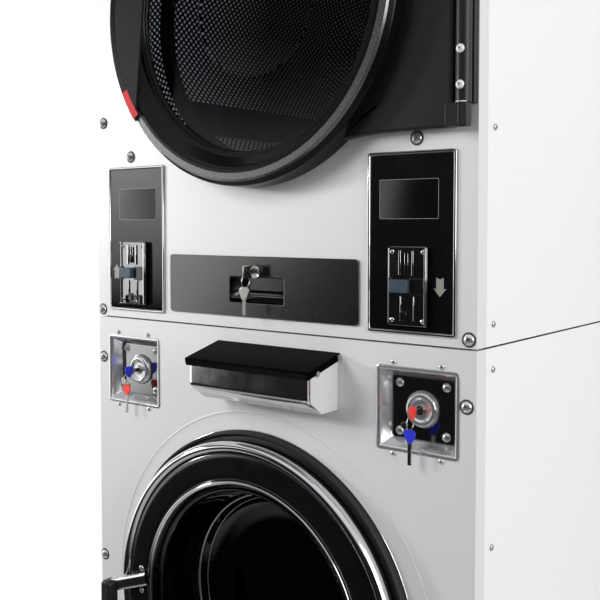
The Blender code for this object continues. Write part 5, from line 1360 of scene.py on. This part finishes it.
class LAUNDRY_OT_stage(Operator):
    """Floor, light and camera"""

    bl_idname = "laundry.stage"
    bl_label = "Stage"

    def execute(self, context):
        scene, set_up = context.scene, context.scene.laundry_stage
        scene.view_settings.view_transform = "Standard"
        self.floor(set_up)
        self.world(scene, set_up)
        self.lamp("key_lamp", (-4.9, -2.9, 2.0), (0.0, FRONT, 1.1), set_up.key_power, 0.6)
        self.lamp("fill_lamp", (3.5, -1.0, 2.0), (0.3, 0.0, 1.1), set_up.fill_power, 2.2)
        top = self.lamp("top_lamp", (-1.3, -2.5, 2.2), (0.1, FRONT, 1.5), set_up.top_power, 1.2)
        back = self.lamp("back_lamp", (1.2, 3.4, 2.4), (0.0, 0.4, 1.0), set_up.back_power, 1.6)
        for soft in (top, back):
            soft.visible_glossy = soft.visible_transmission = False
        self.camera(scene, set_up)
        return {"FINISHED"}

    def camera(self, scene, set_up):
        """The photo's view: turned to the left, tilted a little below level, and shifted."""
        view = bpy.data.cameras.new("photo_camera")
        view.lens, view.sensor_width, view.shift_y = set_up.lens, 36.0, set_up.rise
        made = bpy.data.objects.new("photo_camera", view)
        made.location = set_up.stand
        made.rotation_euler = (np.pi / 2 - set_up.dip, 0.0, set_up.yaw)
        scene.collection.objects.link(made)
        scene.camera = made

    def lamp(self, name, place, target, power, size):
        """A square area lamp at a place, turned to face its target."""
        light = bpy.data.lights.new(name, "AREA")
        light.energy, light.size = power, size
        made = bpy.data.objects.new(name, light)
        made.location = place
        made.rotation_euler = (Vector(target) - Vector(place)).to_track_quat("-Z", "Y").to_euler()
        bpy.context.scene.collection.objects.link(made)
        return made

    def floor(self, set_up):
        """A round floor just under the feet: a flat disc turned about the machine's middle."""
        points, faces = shell(lathe([(0.001, -0.004), (1.2, -0.004), (1.2, -0.0005), (0.001, -0.0005)],
                                    (0.0, 0.0, 0.0), 96, along="Z"))
        mesh = bpy.data.meshes.new("studio_floor")
        mesh.from_pydata(points.tolist(), [], faces)
        # Matt sealed screed: pale, with faint mottling of about 300 mm.
        made, tree, shader = start_material("sealed_screed")
        grain_on(tree, shader, set_up.floor, 300, (0.985, 1.0), (0.7, 0.8))
        mesh.materials.append(made)
        floor = bpy.data.objects.new("studio_floor", mesh)
        bpy.context.scene.collection.objects.link(floor)
        floor.visible_glossy = False

    def world(self, scene, set_up):
        """White where the camera looks. Mirrors see a dark room in front of the machine, with a pale band of
        wall on the left, pale walls behind, and a paler ceiling and ground, as a studio with flags gives."""
        scene.world = bpy.data.worlds.new("studio")
        scene.world.use_nodes = True
        tree = scene.world.node_tree
        tree.nodes.clear()
        where = add(tree, "ShaderNodeTexCoord")
        axes = add(tree, "ShaderNodeSeparateXYZ", {"Vector": where.outputs["Generated"]})
        x, y, z = axes.outputs
        slant = add(tree, "ShaderNodeMath", {0: z, 1: -0.53, 2: x}, operation="MULTIPLY_ADD")
        # Each fade rises smoothly from 0 at its dark end to a level at its light end. Three of them,
        # multiplied, give the band. A mirror sees the brightest part, and never less than dim.
        fades = (
            ("MULTIPLY", slant.outputs[0], -0.59, -0.67, 1.5),  # the band's slanting edge
            ("MULTIPLY", z, 0.22, 0.04, 1.0),  # the band's upper end
            ("MULTIPLY", z, -0.32, -0.2, 1.0),  # the band's lower end
            ("MAXIMUM", y, -0.25, 0.25, 0.95),  # the walls behind
            ("MAXIMUM", z, 0.30, 0.62, 0.8),  # the ceiling
            ("MAXIMUM", z, -0.5, -0.85, 0.5),  # the ground
        )
        room, dim = 1.0, 0.015
        for operation, value, dark, light, level in fades:
            fade = add(tree, "ShaderNodeMapRange", {"Value": value, "From Min": dark, "From Max": light,
                                                    "To Min": 0.0, "To Max": level},
                       interpolation_type="SMOOTHSTEP")
            joined = add(tree, "ShaderNodeMath", {0: room, 1: fade.outputs["Result"]}, operation=operation)
            room = joined.outputs[0]
        seen = add(tree, "ShaderNodeMath", {0: room, 1: dim}, operation="MAXIMUM")
        rays = add(tree, "ShaderNodeLightPath")
        even = add(tree, "ShaderNodeBackground", {"Color": (1.0, 1.0, 1.0, 1.0), "Strength": set_up.sky})
        mirror = add(tree, "ShaderNodeBackground", {"Color": seen.outputs[0], "Strength": 1.0})
        white = add(tree, "ShaderNodeBackground", {"Color": (1.0, 1.0, 1.0, 1.0), "Strength": 1.0})
        gloss = add(tree, "ShaderNodeMixShader", {0: rays.outputs["Is Glossy Ray"], 1: even.outputs[0],
                                                  2: mirror.outputs[0]})
        mixed = add(tree, "ShaderNodeMixShader", {0: rays.outputs["Is Camera Ray"], 1: gloss.outputs[0],
                                                  2: white.outputs[0]})
        add(tree, "ShaderNodeOutputWorld", {"Surface": mixed.outputs[0]})


class LAUNDRY_PT_pieces(Panel):
    """Lists the pieces and their settings"""

    bl_label = "Laundry stack"
    bl_idname = "LAUNDRY_PT_pieces"
    bl_space_type = "VIEW_3D"
    bl_region_type = "UI"
    bl_category = "Laundry"

    def draw(self, context):
        for operator in OPERATORS:
            self.layout.operator(operator.bl_idname)
        for group_name in GROUPS:
            group = getattr(context.scene, group_name)
            box = self.layout.box()
            for name in group.__annotations__:
                box.prop(group, name)


GROUPS = {"laundry_colours": LaundryColours, "laundry_sizes": LaundrySizes, "laundry_stage": LaundryStage}
OPERATORS = (LAUNDRY_OT_finishes, LAUNDRY_OT_dryer_door, LAUNDRY_OT_dryer_hinge, LAUNDRY_OT_drums,
             LAUNDRY_OT_washer_port, LAUNDRY_OT_washer_door, LAUNDRY_OT_washer_latch,
             LAUNDRY_OT_soap_box, LAUNDRY_OT_lint_drawer, LAUNDRY_OT_locks, LAUNDRY_OT_coin_vaults,
             LAUNDRY_OT_control_panels, LAUNDRY_OT_coin_acceptors, LAUNDRY_OT_panel_screws,
             LAUNDRY_OT_cabinet, LAUNDRY_OT_stage)
CLASSES = (*GROUPS.values(), *OPERATORS, LAUNDRY_PT_pieces)


def register():
    for cls in CLASSES:
        bpy.utils.register_class(cls)
    for name, group in GROUPS.items():
        setattr(bpy.types.Scene, name, PointerProperty(type=group))


def unregister():
    for name in GROUPS:
        delattr(bpy.types.Scene, name)
    for cls in reversed(CLASSES):
        bpy.utils.unregister_class(cls)


def main():
    register()
    for operator in OPERATORS:
        getattr(bpy.ops.laundry, operator.bl_idname.split(".")[1])()


if __name__ == "__main__":
    main()
